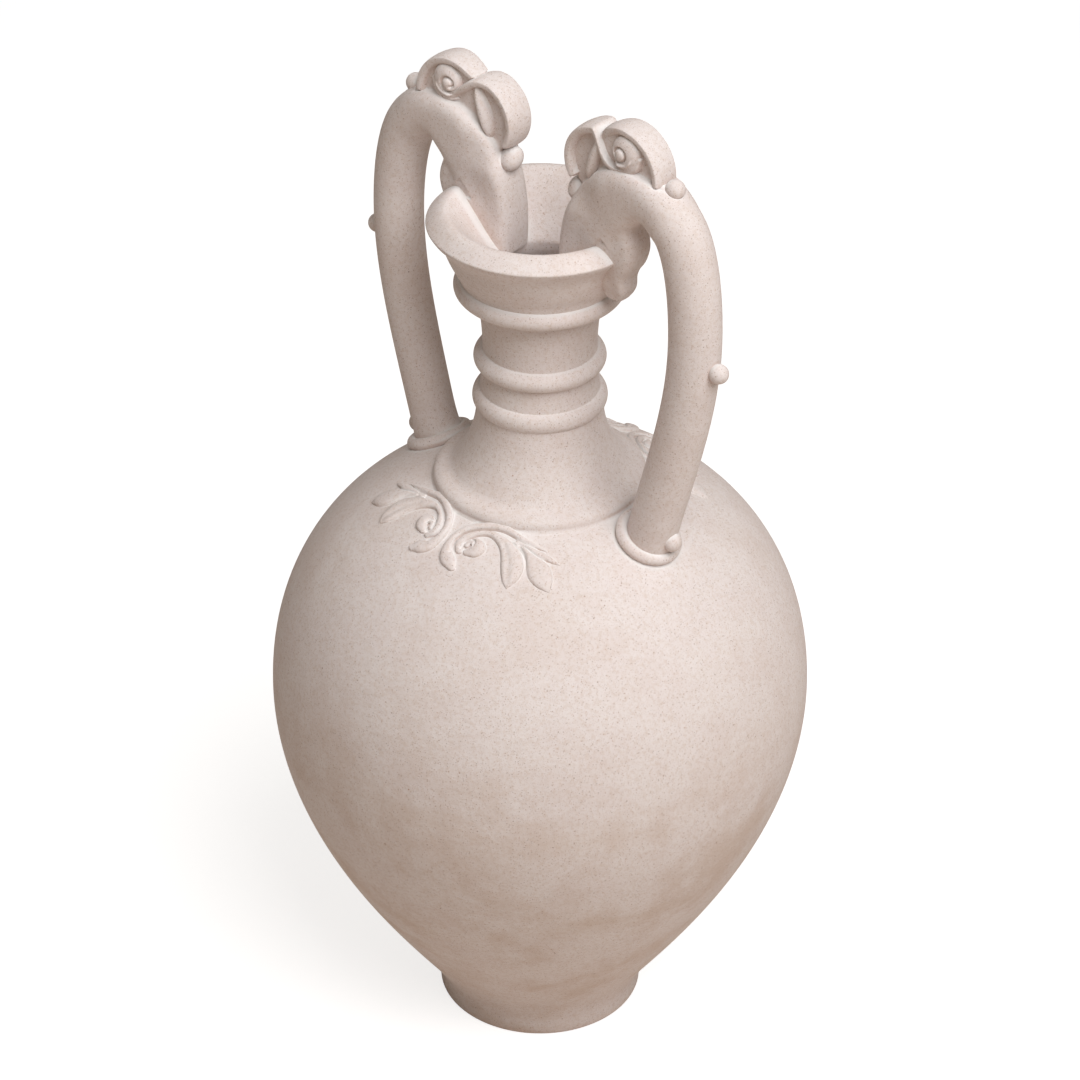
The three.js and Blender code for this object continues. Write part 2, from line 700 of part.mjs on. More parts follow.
// Crests of a head: two straps that meet on top, and the thin web of the head inside them.
function crests(origin) {
  const brow = rz(origin.x + BROW_OUT, origin.y + BROW_UP);
  const snout = rz(origin.x + SNOUT_OUT, origin.y + SNOUT_UP);
  const span = brow.distanceTo(snout);
  const reach = (span ** 2 + SNOUT_RADIUS ** 2 - BROW_RADIUS ** 2) / (2 * span);
  const snoutTop = bearing(snout, brow)
    + THREE.MathUtils.radToDeg(Math.acos(reach / SNOUT_RADIUS));
  const browTop = bearing(brow, along(snout, snoutTop, SNOUT_RADIUS));
  const inset = CREST_THICKNESS / 3;
  const back = CREST_THICKNESS;
  const browInside = arc(brow, () => BROW_RADIUS - inset, BROW_END + back, browTop - back);
  const snoutInside = arc(snout, () => SNOUT_RADIUS - inset, snoutTop + back, SNOUT_END - back);
  const root = headSpine(origin).getPoint(WEB_ROOT_SHARE);
  return {
    brow: (grow) => strap(brow, BROW_RADIUS, BROW_END, browTop, grow),
    snout: (grow) => strap(snout, SNOUT_RADIUS, snoutTop, SNOUT_END, grow),
    web: plate([...browInside, ...snoutInside, root], WEB_HALF_WIDTH),
  };
}

// Scroll eye: a shallow dome in a raised rim, lying on one side of the web.
function eye(origin, side) {
  const outline = EYE_OUTLINE.map(([out, up]) => rz(out * EYE_RADIUS, up * EYE_HEIGHT));
  const dome = new THREE.LatheGeometry(outline, STEM_SIDES);
  if (side < 0) dome.rotateX(Math.PI);
  const seat = side * (WEB_HALF_WIDTH + CLEARANCE);
  return toSolid(dome.translate(origin.x + EYE_OUT, seat, origin.y + EYE_UP));
}

// Leaf in front of the cheek: a pointed sliver lying on one side of the web.
function leaf(origin, side) {
  const root = rz(origin.x + LEAF_OUT, origin.y + LEAF_UP);
  return toSolid(loft(Array.from({ length: LEAF_STEPS + 1 }, (_, i) => {
    const share = i / LEAF_STEPS;
    const swell = lerp(LEAF_END_SHARE, 1, Math.sin(Math.PI * share));
    const centre = along(root, LEAF_TILT, share * LEAF_LENGTH);
    return LEAF_SECTION.map(([across, out]) => {
      const place = along(centre, LEAF_TILT - 90, across * LEAF_HALF_WIDTH * swell);
      const lift = WEB_HALF_WIDTH + CLEARANCE + out * LEAF_HEIGHT * swell;
      return new THREE.Vector3(place.x, side * lift, place.y);
    });
  })));
}

// One handle with its head, on the +X side, standing a distance further out.
function handle(label, shift) {
  const group = new THREE.Group();
  const add = (name, solid) => group.add(piece(`${label}_${name}`, toGeometry(solid)));
  const origin = rz(lipCrest.x + shift, lipCrest.y);
  const foot = stemFoot(shift);
  const joint = rz(origin.x + HEAD_JOINT_OUT, origin.y + HEAD_JOINT_UP);
  const path = stemPath(foot.base, shift, joint);
  const stemCutter = bar(path, STEM_RADIUS + CLEARANCE);
  const ringCutter = baseRing(foot, CLEARANCE);

  add('stem', bar(path, STEM_RADIUS).subtract(shoulderCutter));
  const footRing = baseRing(foot, 0).subtract(stemCutter).subtract(shoulderCutter);
  add('base_ring', footRing.subtract(collarCutter));

  const bodyCutter = headBody(origin, CLEARANCE);
  const crest = crests(origin);
  const browCutter = crest.brow(CLEARANCE);
  const snoutCutter = crest.snout(CLEARANCE);
  const web = crest.web.subtract(browCutter).subtract(snoutCutter);
  const head = headBody(origin, 0).add(web);
  add('head', head.subtract(cupCutter).subtract(underBite(origin, 0)));
  add('lower_jaw', jawBody(origin).intersect(underBite(origin, CLEARANCE)).subtract(cupCutter));
  add('brow_crest', crest.brow(0).subtract(snoutCutter).subtract(bodyCutter));
  add('snout_crest', crest.snout(0).subtract(bodyCutter));
  [['front', -1], ['back', 1]].forEach(([name, side]) => {
    add(`eye_${name}`, eye(origin, side).subtract(bodyCutter).subtract(browCutter));
    add(`leaf_${name}`, leaf(origin, side).subtract(bodyCutter).subtract(snoutCutter));
  });
  const chin = rz(origin.x + BALL_OUT, origin.y + BALL_UP);
  add('chin_ball', seatedBall(chin, BALL_RADIUS, bodyCutter, snoutCutter));

  const proud = STEM_RADIUS + BEAD_SEAT;
  const beads = {
    base: beside(path, shareWhere(path, (p) => p.y, foot.base.y + BASE_BEAD_RISE), proud),
    middle: beside(path, shareWhere(path, (p) => p.y, SHOULDER_HEIGHT + MIDDLE_BEAD_RISE), proud),
    nape: beside(headSpine(origin), NAPE_BEAD_SHARE, proud),
  };
  Object.entries(beads).forEach(([name, place]) => {
    const seats = [stemCutter, bodyCutter, browCutter, ringCutter, shoulderCutter];
    add(`bead_${name}`, seatedBall(place, BEAD_RADIUS, ...seats));
  });
  return group;
}

// Point over the shoulder: angle about the axis, distance down from the collar, and lift.
function overShoulder(azimuth, drop, lift) {
  const share = Math.min(1, 1 - drop / upperCurve.getLength());
  const point = upperCurve.getPointAt(share);
  const tangent = upperCurve.getTangentAt(share);
  point.addScaledVector(tangent, Math.max(0, -drop));
  point.add(rz(tangent.y, -tangent.x).multiplyScalar(lift));
  return new THREE.Vector3(point.x * Math.cos(azimuth), point.x * Math.sin(azimuth), point.y);
}

// One modelled stroke of a spray: a low ridge along its middle line, thinning to the tip.
function stroke(line, height, turn, side) {
  const widest = SPRAY_DEPTH * Math.max(...line.map(([, , half]) => half));
  const curve = new THREE.CatmullRomCurve3(line.map(([angle, drop, half]) => (
    new THREE.Vector3(radians(angle) * SPRAY_CHART_RADIUS, drop * SPRAY_DEPTH, half * SPRAY_DEPTH)
  )));
  const steps = Math.ceil(STROKE_STEPS * (line.length - 1));
  return toSolid(loft(Array.from({ length: steps + 1 }, (_, i) => {
    const centre = curve.getPoint(i / steps);
    const tangent = curve.getTangent(i / steps).setZ(0).normalize();
    const rise = SPRAY_SINK + height * Math.sqrt(centre.z / widest);
    return STROKE_SECTION.map(([across, up]) => {
      const round = centre.x - tangent.y * across * centre.z;
      const drop = centre.y + tangent.x * across * centre.z;
      const azimuth = turn + side * round / SPRAY_CHART_RADIUS;
      return overShoulder(azimuth, drop, up * rise - SPRAY_SINK);
    });
  })));
}

// Half of a spray: a ribbon arched over a spiral, with three leaves, luted to the shoulder.
function sprayHalf(turn, side) {
  const ribbons = [RIBBON_LINE, SPIRAL_LINE].map((line) => (
    stroke(line, RIBBON_HEIGHT, turn, side)
  ));
  const leaves = LEAF_LINES.map((line) => stroke(line, SPRAY_LEAF_HEIGHT, turn, side));
  const whole = [...ribbons, ...leaves].reduce((solid, next) => solid.add(next));
  return toGeometry(whole.subtract(shoulderCutter).subtract(collarCutter));
}

const lowerRing = neckRing(LOWER_RING_HEIGHT, LOWER_RING_RADIUS);
const upperRing = neckRing(UPPER_RING_HEIGHT, UPPER_RING_RADIUS);
const vase = new THREE.Group();
vase.add(
  piece('foot', foot()),
  piece('lower_body', lowerBody()),
  piece('upper_body', upperBody()),
  piece('shoulder_collar', turnedLoop(collarOutline())),
  piece('neck', neck()),
  piece('neck_ring_lower', lowerRing),
  piece('neck_ring_upper', upperRing),
  piece('cup_ring', cupRing()),
  piece('mouth_cup', turnedLoop(cupOutline())),
);
[['front', -90], ['back', 90]].forEach(([name, angle]) => {
  const turn = radians(angle + SPRAY_TURN);
  const right = -Math.sign(angle);
  vase.add(piece(`spray_${name}_left`, sprayHalf(turn, -right)));
  vase.add(piece(`spray_${name}_right`, sprayHalf(turn, right)));
});
vase.add(handle('right', HANDLE_SHIFT));
vase.add(handle('left', -HANDLE_SHIFT).rotateZ(Math.PI));

export default vase;
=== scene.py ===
import itertools
import math

import bpy
import numpy as np
from bpy.props import FloatProperty, FloatVectorProperty, PointerProperty
from bpy.types import Operator, Panel, PropertyGroup
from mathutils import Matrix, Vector


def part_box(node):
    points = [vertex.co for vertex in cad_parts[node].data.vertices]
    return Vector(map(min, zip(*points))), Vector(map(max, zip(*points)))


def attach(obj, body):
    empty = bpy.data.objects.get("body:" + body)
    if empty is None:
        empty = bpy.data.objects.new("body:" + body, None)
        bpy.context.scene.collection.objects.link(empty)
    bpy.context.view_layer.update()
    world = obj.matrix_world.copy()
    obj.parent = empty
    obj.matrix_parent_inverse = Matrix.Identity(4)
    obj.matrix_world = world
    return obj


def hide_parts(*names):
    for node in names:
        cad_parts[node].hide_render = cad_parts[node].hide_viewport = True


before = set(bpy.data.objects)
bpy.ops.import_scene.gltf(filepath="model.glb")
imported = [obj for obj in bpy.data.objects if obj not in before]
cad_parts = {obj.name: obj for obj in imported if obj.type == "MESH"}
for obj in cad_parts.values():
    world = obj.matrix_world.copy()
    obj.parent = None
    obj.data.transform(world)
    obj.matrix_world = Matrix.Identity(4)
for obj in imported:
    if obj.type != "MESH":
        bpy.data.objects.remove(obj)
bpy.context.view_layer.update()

bl_info = {
    "name": "Dragon amphora",
    "version": (1, 0, 0),
    "blender": (4, 5, 0),
    "location": "3D View > Sidebar > Amphora",
    "description": "Thrown and modelled surfaces for a two-handled clay amphora",
    "category": "Object",
}

# Shapes are worked out in millimetres and put into their meshes in metres
MM = 0.001


def top(node):
    """Highest corner of a node of the frame, in millimetres."""
    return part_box(node)[1] / MM


# Places that the frame gives
FOOT_TOP_RADIUS = top("foot").x
BELLY_RADIUS = top("upper_body").x
SHOULDER_HEIGHT = top("upper_body").z
COLLAR_RADIUS = top("shoulder_collar").x
LIP_RADIUS = top("mouth_cup").x
LIP_CREST_HEIGHT = top("mouth_cup").z

# Body and foot: radius and height
FOOT_RADIUS, FOOT_HEIGHT = 50.0, 17.0
BODY_FOOT = (52.45, 16.8)
BELLY = (BELLY_RADIUS, 184.0)
SHOULDER = (49.0, SHOULDER_HEIGHT)
LOWER_SLOPE, LOWER_REACH = 54.0, 56.0
BELLY_LOWER_REACH, BELLY_UPPER_REACH = 62.0, 61.0
SHOULDER_SLOPE, SHOULDER_REACH = 17.2, 49.7
WALL = 8.0
FLOOR_HEIGHT, FLOOR_EDGE, FLOOR_CORNER = 29.3, 6.0, 5.0
BODY_OPENING, INSIDE_END = 35.0, 42.0
# Socket under the body, and the tenon of the foot in it
SOCKET, TENON = (30.3, 21.3), (30.0, 21.0)
# Hollow under the foot, and the inner edge of the ring that it stands on
HOLLOW_EDGE, STANDING_EDGE = (36.0, 4.0), (39.0, 0.0)
FOOT_WALL = [
    (50.35, 1.2), (50.7, 5.5), (51.4, 10.0), (FOOT_TOP_RADIUS + 0.3, 14.6), (54.9, 18.8), (57.3, 22.7),
    (60.0, 26.9), (62.6, 31.2),
]

# Neck and cup
NECK_TOP = SHOULDER_HEIGHT + 98.0
NECK_FLARE = [
    (42.7, SHOULDER_HEIGHT + 6.5), (30.9, SHOULDER_HEIGHT + 20.2), (29.6, SHOULDER_HEIGHT + 39.0),
]
NECK_WAIST = [NECK_FLARE[-1], (23.6, SHOULDER_HEIGHT + 68.5), (29.2, NECK_TOP)]
BORE_RADIUS = 17.0
# Plug of the neck in the shoulder, and its tenon in the cup
PLUG_RADIUS, PLUG_BORE, PLUG_SEAT = 34.7, 27.0, 0.3
NECK_TENON = (22.0, NECK_TOP + 4.0)
LOWER_RING = (31.5, SHOULDER_HEIGHT + 44.5)
UPPER_RING = (30.8, SHOULDER_HEIGHT + 65.5)
RING_HALF_HEIGHT, RING_RUN_OUT, RING_SEAT, RING_DEPTH = 4.9, 1.3, 1.1, 3.0
CUP_RING = (39.7, NECK_TOP + 5.2)
CUP_RING_HALF_HEIGHT = 4.6
LIP_CREST = (42.5, LIP_CREST_HEIGHT)
# Cup, measured up from the top of the neck: outside, and inside from the lip to the bore
CUP_WALL = [
    (36.5, 8.6), (37.4, 11.5), (39.8, 15.8), (42.5, 21.6), (45.0, 27.6), (48.0, 32.0), (50.9, 35.2),
]
CUP_DISH = [
    (40.4, 42.0), (38.9, 40.8), (36.7, 38.6), (33.4, 34.9), (29.6, 30.4), (25.1, 25.2), (20.9, 21.1),
    (18.2, 18.6),
]

# Handle stems: distance out from the axis, and height
STEM_BASE_RADIUS = 66.7
STEM_BASE_LEAN, STEM_BASE_REACH, STEM_ROOT = 13.0, 38.0, 12.0
STEM_WIDEST = (90.35, SHOULDER_HEIGHT + 108.5)
STEM_MIDDLE_REACH, STEM_TOP_REACH = 40.0, 22.0
JOINT_OUT, JOINT_UP, JOINT_TILT, JOINT_REACH = 35.0, 21.0, 49.0, 12.0
BASE_RING_RADIUS, BASE_RING_THICKNESS, BASE_RING_LIFT, BASE_RING_INSET = 13.3, 2.9, 1.5, 1.5
# Share by which each stem thins towards its foot, and the spread of the left one's foot
STEM_THINNING = {1: 0.035, -1: 0.11}
STEM_SPREAD, SPREAD_START, SPREAD_FADE = 7.0, 12.0, 7.0
# Beads: how far their middles stand off the stem, and their heights over its foot or the shoulder
BEAD_SEAT, BASE_BEAD_SEAT = 2.2, -0.4
BASE_BEAD_RISE, BASE_BEAD_STEP, MIDDLE_BEAD_RISE = 6.6, 1.0, 98.0
NAPE_BEAD, NAPE_SHIFT = (77.5, 478.8), 1.5

# Both handles stand a little to the right of the axis: by this much at the head and the stem
HEAD_SHIFT = 2.2
STEM_SHIFT, STEM_BASE_SHIFT = 1.85, 1.25

# Fineness of the surfaces
ROUND_STEPS = 256
NET_STEP = 0.45
RELIEF_STEP = 0.27
STEM_LOWER_STEPS, STEM_UPPER_STEPS = 146, 73

# Directions in a handle: out from the axis, and across its plane
OUT, ACROSS = (1.0, 0.0, 0.0), (0.0, 1.0, 0.0)


def bezier(control, count):
    """Points of a Bezier curve: each control times C(n, k) t^k (1 - t)^(n - k), added up."""
    control = np.asarray(control, float)
    degree = len(control) - 1
    t = np.linspace(0, 1, count)[:, None]
    return sum(
        math.comb(degree, k) * t**k * (1 - t) ** (degree - k) * place
        for k, place in enumerate(control)
    )


def length_up_to(line):
    """Length of a line from its start to each of its points."""
    return np.concatenate([[0], np.cumsum(np.hypot(*np.diff(line, axis=0).T))])


def smooth_line(places, count):
    """Smooth line through places: cubic pieces whose slope at a place is that of its neighbours.

    The first two columns give the length of the run; other columns are carried along.
    """
    places = np.asarray(places, float)
    run = length_up_to(places[:, :2])
    slope = np.gradient(places, run, axis=0)
    at = np.linspace(0, run[-1], count)
    k = np.clip(np.searchsorted(run, at, side="right") - 1, 0, len(run) - 2)
    step = (run[k + 1] - run[k])[:, None]
    t = (at - run[k])[:, None] / step
    start = (2 * t**3 - 3 * t**2 + 1) * places[k] + (t**3 - 2 * t**2 + t) * step * slope[k]
    end = (3 * t**2 - 2 * t**3) * places[k + 1] + (t**3 - t**2) * step * slope[k + 1]
    return start + end


def along(place, angle, distance):
    """Place reached by going a distance at an angle above the horizontal."""
    turn = math.radians(angle)
    return (place[0] + distance * math.cos(turn), place[1] + distance * math.sin(turn))


def directions(line):
    """Unit direction of a line at each of its points."""
    step = np.gradient(np.asarray(line, float), axis=0)
    return step / np.linalg.norm(step, axis=1, keepdims=True)


def left_of(direction):
    """Directions in a plane turned a quarter turn to the left."""
    return np.stack([-direction[:, 1], direction[:, 0]], axis=1)


def corner(before, at, after, radius, count=7):
    """Rounded corner: a quadratic curve between the points a radius away on both sides."""
    before, at, after = (np.asarray(p, float) for p in (before, at, after))
    start = at + radius * (before - at) / np.linalg.norm(before - at)
    end = at + radius * (after - at) / np.linalg.norm(after - at)
    return bezier([start, at, end], count)


def smooth_min(a, b, blend):
    """Smaller of two values, with the change between them rounded over a blend distance."""
    near = np.maximum(blend - np.abs(a - b), 0) / blend
    return np.minimum(a, b) - near**2 * blend / 4


def smooth_max(a, b, blend):
    """Larger of two values, rounded the same way."""
    return -smooth_min(-a, -b, blend)


def grid_faces(rows, columns, wrap_rows=False):
    """Quads of a grid of points that is stored row by row, each row a closed ring."""
    i = np.arange(rows if wrap_rows else rows - 1)[:, None]
    j = np.arange(columns)[None, :]
    up, right = (i + 1) % rows, (j + 1) % columns
    quads = [i * columns + j, i * columns + right, up * columns + right, up * columns + j]
    return np.stack(quads, axis=-1).reshape(-1, 4)


def facing_out(points, faces):
    """The faces, all turned over if the volume that they enclose comes out negative."""
    volume = 0.0
    for block in faces:
        a, b, c = points[block[:, 0]], points[block[:, 1]], points[block[:, 2]]
        volume += np.einsum("ij,ij->", a, np.cross(b, c))
        if block.shape[1] == 4:
            d = points[block[:, 3]]
            volume += np.einsum("ij,ij->", a, np.cross(c, d))
    return faces if volume > 0 else [block[:, ::-1] for block in faces]


def revolved(outline):
    """Closed outline of (radius, height) turned about the axis: (r cos a, r sin a, z).

    An outline that starts and ends on the axis closes there with a point at each end.
    """
    outline = np.asarray(outline, float)
    poled = outline[0, 0] == 0
    rim = outline[1:-1] if poled else outline
    angle = np.linspace(0, 2 * np.pi, ROUND_STEPS, endpoint=False)
    radius, height = rim[:, :1], rim[:, 1:]
    ring = [radius * np.cos(angle), radius * np.sin(angle), height + 0 * angle]
    points = np.stack(ring, axis=-1).reshape(-1, 3)
    faces = [grid_faces(len(rim), ROUND_STEPS, wrap_rows=not poled)]
    if poled:
        ends = (0, 0, outline[0, 1]), (0, 0, outline[-1, 1])
        points, fans = with_poles(points, len(rim), ROUND_STEPS, *ends)
        faces += fans
    return points, facing_out(points, faces)


def with_poles(points, rows, columns, first, last):
    """Points with one more at each end of a grid, and the fans of triangles that close it."""
    count = rows * columns
    j = np.arange(columns)
    right = (j + 1) % columns
    end = (rows - 1) * columns
    fans = [
        np.stack([np.full(columns, count), right, j], axis=1),
        np.stack([np.full(columns, count + 1), end + j, end + right], axis=1),
    ]
    return np.vstack([points, first, last]), fans


def carried(centres, outs, sides, section, swell):
    """Section carried along a path: centre + swell (a side + b out), closed at both ends.

    The directions are one for all places or one for each. The swell is one number for each
    place, or one across and one out.
    """
    outs, sides = (np.broadcast_to(way, centres.shape)[:, None] for way in (outs, sides))
    swell = swell.reshape(len(centres), -1)
    across = section[None, :, :1] * swell[:, None, :1]
    rise = section[None, :, 1:] * swell[:, None, -1:]
    points = centres[:, None] + across * sides + rise * outs
    rows, columns = points.shape[:2]
    middle = points.mean(axis=1)
    points, fans = with_poles(points.reshape(-1, 3), rows, columns, middle[0], middle[-1])
    return points, facing_out(points, [grid_faces(rows, columns)] + fans)


def in_plane(flat):
    """Places (out, up) in the plane of a handle as points in space."""
    return np.stack([flat[:, 0], np.zeros(len(flat)), flat[:, 1]], axis=1)


def rounded_ends(count, length, run):
    """Swell along a path of a length: a quarter circle over the first and last run of it."""
    edge = np.linspace(0, length, count)
    edge = np.minimum(edge, length - edge)
    return np.sqrt(1 - (1 - np.clip(edge / run, 0.02, 1)) ** 2)


def samples(low, high, step):
    """Evenly spaced places along each side of a box, from its low corner on."""
    return [a + step * np.arange(int((b - a) / step)) for a, b in zip(low, high)]


def surface_net(field, low, step):
    """Mesh of the places where a sampled field is zero.

    Each cell that the zero level crosses gets one point, the mean of the crossings on its
    edges, and each crossed grid edge joins the points of the four cells around it.
    """
    inside = field < 0
    corners = sum(
        inside[i : i - 1 or None, j : j - 1 or None, k : k - 1 or None].astype(np.int8)
        for i, j, k in itertools.product((0, 1), repeat=3)
    )
    active = (corners > 0) & (corners < 8)
    index = np.full(active.shape, -1)
    index[active] = np.arange(active.sum())
    cells = np.argwhere(active)
    total = np.zeros(cells.shape)
    hits = np.zeros(len(cells))
    units = np.eye(3, dtype=int)
    faces = []
    for axis in range(3):
        across, over = (axis + 1) % 3, (axis + 2) % 3
        for i, j in itertools.product((0, 1), repeat=2):
            offset = i * units[across] + j * units[over]
            start = field[tuple((cells + offset).T)]
            end = field[tuple((cells + offset + units[axis]).T)]
            crossed = (start < 0) != (end < 0)
            share = start[crossed] / (start[crossed] - end[crossed])
            total[crossed] += offset + share[:, None] * units[axis]
            hits[crossed] += 1
        turned = np.moveaxis(inside, axis, 0)
        change = np.argwhere(np.moveaxis(turned[:-1] != turned[1:], 0, axis))
        clear = (change[:, across] > 0) & (change[:, over] > 0)
        clear &= change[:, across] < field.shape[across] - 1
        clear &= change[:, over] < field.shape[over] - 1
        change = change[clear]
        around = [
            index[tuple((change + i * units[across] + j * units[over]).T)]
            for i, j in ((-1, -1), (0, -1), (0, 0), (-1, 0))
        ]
        quads = np.stack(around, axis=1)
        entering = ~inside[tuple(change.T)]
        quads[entering] = quads[entering][:, ::-1]
        faces.append(quads)
    points = np.asarray(low) + step * (cells + total / hits[:, None])
    return points, [np.vstack(faces)]


def relaxed(points, faces, rounds):
    """Points drawn half the way to the mean of their neighbours in each round."""
    quads = faces[0]
    starts = quads.ravel()
    ends = np.roll(quads, -1, axis=1).ravel()
    first, second = np.concatenate([starts, ends]), np.concatenate([ends, starts])
    degree = np.bincount(first, minlength=len(points))[:, None]
    for _ in range(rounds):
        sums = [np.bincount(first, points[second, k], len(points)) for k in range(3)]
        points = points + 0.5 * (np.stack(sums, axis=1) / degree - points)
    return points


def apart(u, z, centre):
    """Distance from a centre, for places in a handle's plane."""
    return np.hypot(u - centre[0], z - centre[1])


def nearest(u, z, path):
    """For places in a handle's plane: the nearest point of a path, and the distance to it.

    The distance is positive to the left of the path's direction and negative to the right.
    """
    du = u[..., None] - path[:, 0]
    dz = z[..., None] - path[:, 1]
    squared = du**2 + dz**2
    index = squared.argmin(axis=-1)
    heading = directions(path)[index]
    pick = index[..., None]
    du = np.take_along_axis(du, pick, axis=-1)[..., 0]
    dz = np.take_along_axis(dz, pick, axis=-1)[..., 0]
    side = np.sign(heading[..., 0] * dz - heading[..., 1] * du)
    return index, side * np.sqrt(squared.min(axis=-1))


def swept_field(grid, path, depth, width, squareness, hollow):
    """Signed field of a rounded bar along a path in a handle's plane.

    It is (|d / depth|^n + |y / width|^n)^(1 / n) - 1 times the smaller half size, where d is
    the distance from the path and y the distance from the plane. With s = d / depth, the
    width is first multiplied by 1 - hollow (1 - s^2).
    """
    u, y, z = grid
    index, off = nearest(*np.broadcast_arrays(u, z), path)
    sizes = (depth, width, squareness, hollow)
    half_depth, half_width, power, dent = (np.broadcast_to(v, len(path))[index] for v in sizes)
    share = np.clip(off / half_depth, -1, 1)
    half_width = half_width * (1 - dent * (1 - share**2))
    reach = np.abs(off / half_depth) ** power + np.abs(y / half_width) ** power
    return (reach ** (1 / power) - 1) * np.minimum(half_depth, half_width)


def lower_outline(count):
    """Body from the foot to the belly, as one cubic curve."""
    return bezier([
        BODY_FOOT,
        along(BODY_FOOT, LOWER_SLOPE, LOWER_REACH),
        along(BELLY, -90, BELLY_LOWER_REACH),
        BELLY,
    ], count)


def upper_outline(count):
    """Body from the belly to the edge of the shoulder, as one cubic curve."""
    return bezier([
        BELLY,
        along(BELLY, 90, BELLY_UPPER_REACH),
        along(SHOULDER, -SHOULDER_SLOPE, SHOULDER_REACH),
        SHOULDER,
    ], count)


def body_surface():
    """Hollow body: the outer outline, the same drawn in by the wall, and a flat floor."""
    outer = np.vstack([lower_outline(90)[:-1], upper_outline(100)])
    inner = (outer + WALL * left_of(directions(outer)))[::-2]
    inner = inner[(inner[:, 1] > FLOOR_HEIGHT + FLOOR_EDGE) & (inner[:, 0] > INSIDE_END)]
    floor_edge = (inner[-1, 0] - FLOOR_EDGE, FLOOR_HEIGHT)
    return revolved(np.vstack([
        [(0, SOCKET[1]), SOCKET, (SOCKET[0], BODY_FOOT[1])],
        outer,
        [(BODY_OPENING, SHOULDER_HEIGHT), (BODY_OPENING, SHOULDER_HEIGHT - WALL)],
        inner,
        corner(inner[-1], floor_edge, (0, FLOOR_HEIGHT), FLOOR_CORNER),
        [(0, FLOOR_HEIGHT)],
    ]))


def foot_surface():
    """Turned foot: a disc with rounded edges, hollow underneath, that sweeps up into the body."""
    under, base = (0.0, HOLLOW_EDGE[1]), (FOOT_RADIUS, 0.0)
    return revolved(np.vstack([
        [under, (34.5, HOLLOW_EDGE[1])],
        corner(under, HOLLOW_EDGE, STANDING_EDGE, 1),
        corner(HOLLOW_EDGE, STANDING_EDGE, base, 0.8),
        corner(STANDING_EDGE, base, FOOT_WALL[0], 0.9),
        smooth_line(FOOT_WALL, 30),
        [(58, 28), (FOOT_RADIUS, FOOT_HEIGHT), (TENON[0], FOOT_HEIGHT), TENON, (0, TENON[1])],
    ]))


def neck_radius(height):
    """Outer radius of the neck at a height, from its flare and its waist."""
    line = np.vstack([bezier(NECK_FLARE, 60), bezier(NECK_WAIST, 80)[1:]])
    return np.interp(height, line[:, 1], line[:, 0])


def neck_surface():
    """Neck: plug in the shoulder, flared foot, waisted stem, tenon at the top, and a bore that
    opens below."""
    outer = np.vstack([bezier(NECK_FLARE, 50), bezier(NECK_WAIST, 60)[1:]])
    plug_foot, plug_top = SHOULDER_HEIGHT - WALL, SHOULDER_HEIGHT + PLUG_SEAT
    bore = bezier([
        (BORE_RADIUS, SHOULDER_HEIGHT + 39), (BORE_RADIUS, SHOULDER_HEIGHT + 6), (PLUG_BORE, SHOULDER_HEIGHT),
    ], 16)
    return revolved(np.vstack([
        [(PLUG_BORE, plug_foot), (PLUG_RADIUS, plug_foot), (PLUG_RADIUS, plug_top)],
        [(NECK_FLARE[0][0], plug_top)],
        outer,
        [(NECK_WAIST[-1][0], NECK_TOP + 0.6), (NECK_TENON[0], NECK_TOP + 0.6)],
        [NECK_TENON, (BORE_RADIUS, NECK_TENON[1])],
        bore,
    ]))


def collar_surface():
    """Collar: a soft roll round the foot of the neck that runs out onto the neck's flare."""
    r, z = COLLAR_RADIUS, SHOULDER_HEIGHT
    roll = smooth_line([
        (r + 2.7, z - 1.3), (r + 1.7, z - 0.6), (r + 1.05, z + 0.5), (r + 0.9, z + 2.1),
        (r + 0.2, z + 3.9), (47.6, z + 5.3), (45.2, z + 6.2), (43.2, z + 7.0), (41.4, z + 8.3),
        (39.9, z + 10.1), (38.7, z + 11.6),
    ], 56)
    return revolved(np.vstack([roll, [(36, z + 6), (36, z - 2.4)]]))


def ring_surface(ring):
    """Half-round ring whose edges run out onto the neck.

    Its radius is the rounded larger of the neck's radius and of an ellipse seated in it.
    """
    radius, middle = ring
    turn = np.linspace(-np.pi / 2, np.pi / 2, 61)
    height = middle + (RING_HALF_HEIGHT + RING_RUN_OUT) * np.sin(turn)
    share = (height - middle) / RING_HALF_HEIGHT
    seat = neck_radius(middle) - RING_SEAT
    bulge = np.sqrt(np.clip(1 - share**2, 0, 1)) - 3 * np.clip(np.abs(share) - 1, 0, None)
    swell = seat + (radius - seat) * bulge
    outer = smooth_max(swell, neck_radius(height) - 0.04, 0.8)
    inner = neck_radius(middle) - RING_DEPTH
    outline = np.stack([outer, height], axis=1)
    return revolved(np.vstack([outline, [(inner, height[-1]), (inner, height[0])]]))


def cup_ring_surface():
    """Roll under the cup: round outside, flat below, and hollowed where it meets the cup."""
    radius, middle = CUP_RING
    turn = np.radians(np.linspace(-90, 78, 34))
    roll = np.stack([
        radius - CUP_RING_HALF_HEIGHT + CUP_RING_HALF_HEIGHT * np.cos(turn),
        middle + CUP_RING_HALF_HEIGHT * np.sin(turn),
    ], axis=1)
    rise = bezier([roll[-1], (36.7, roll[-1, 1] + 0.25), (36.9, roll[-1, 1] + 2.0)], 8)
    foot, head = (28.4, middle - CUP_RING_HALF_HEIGHT), (30, middle + 4.2)
    return revolved(np.vstack([[foot], roll, rise[1:], [head]]))


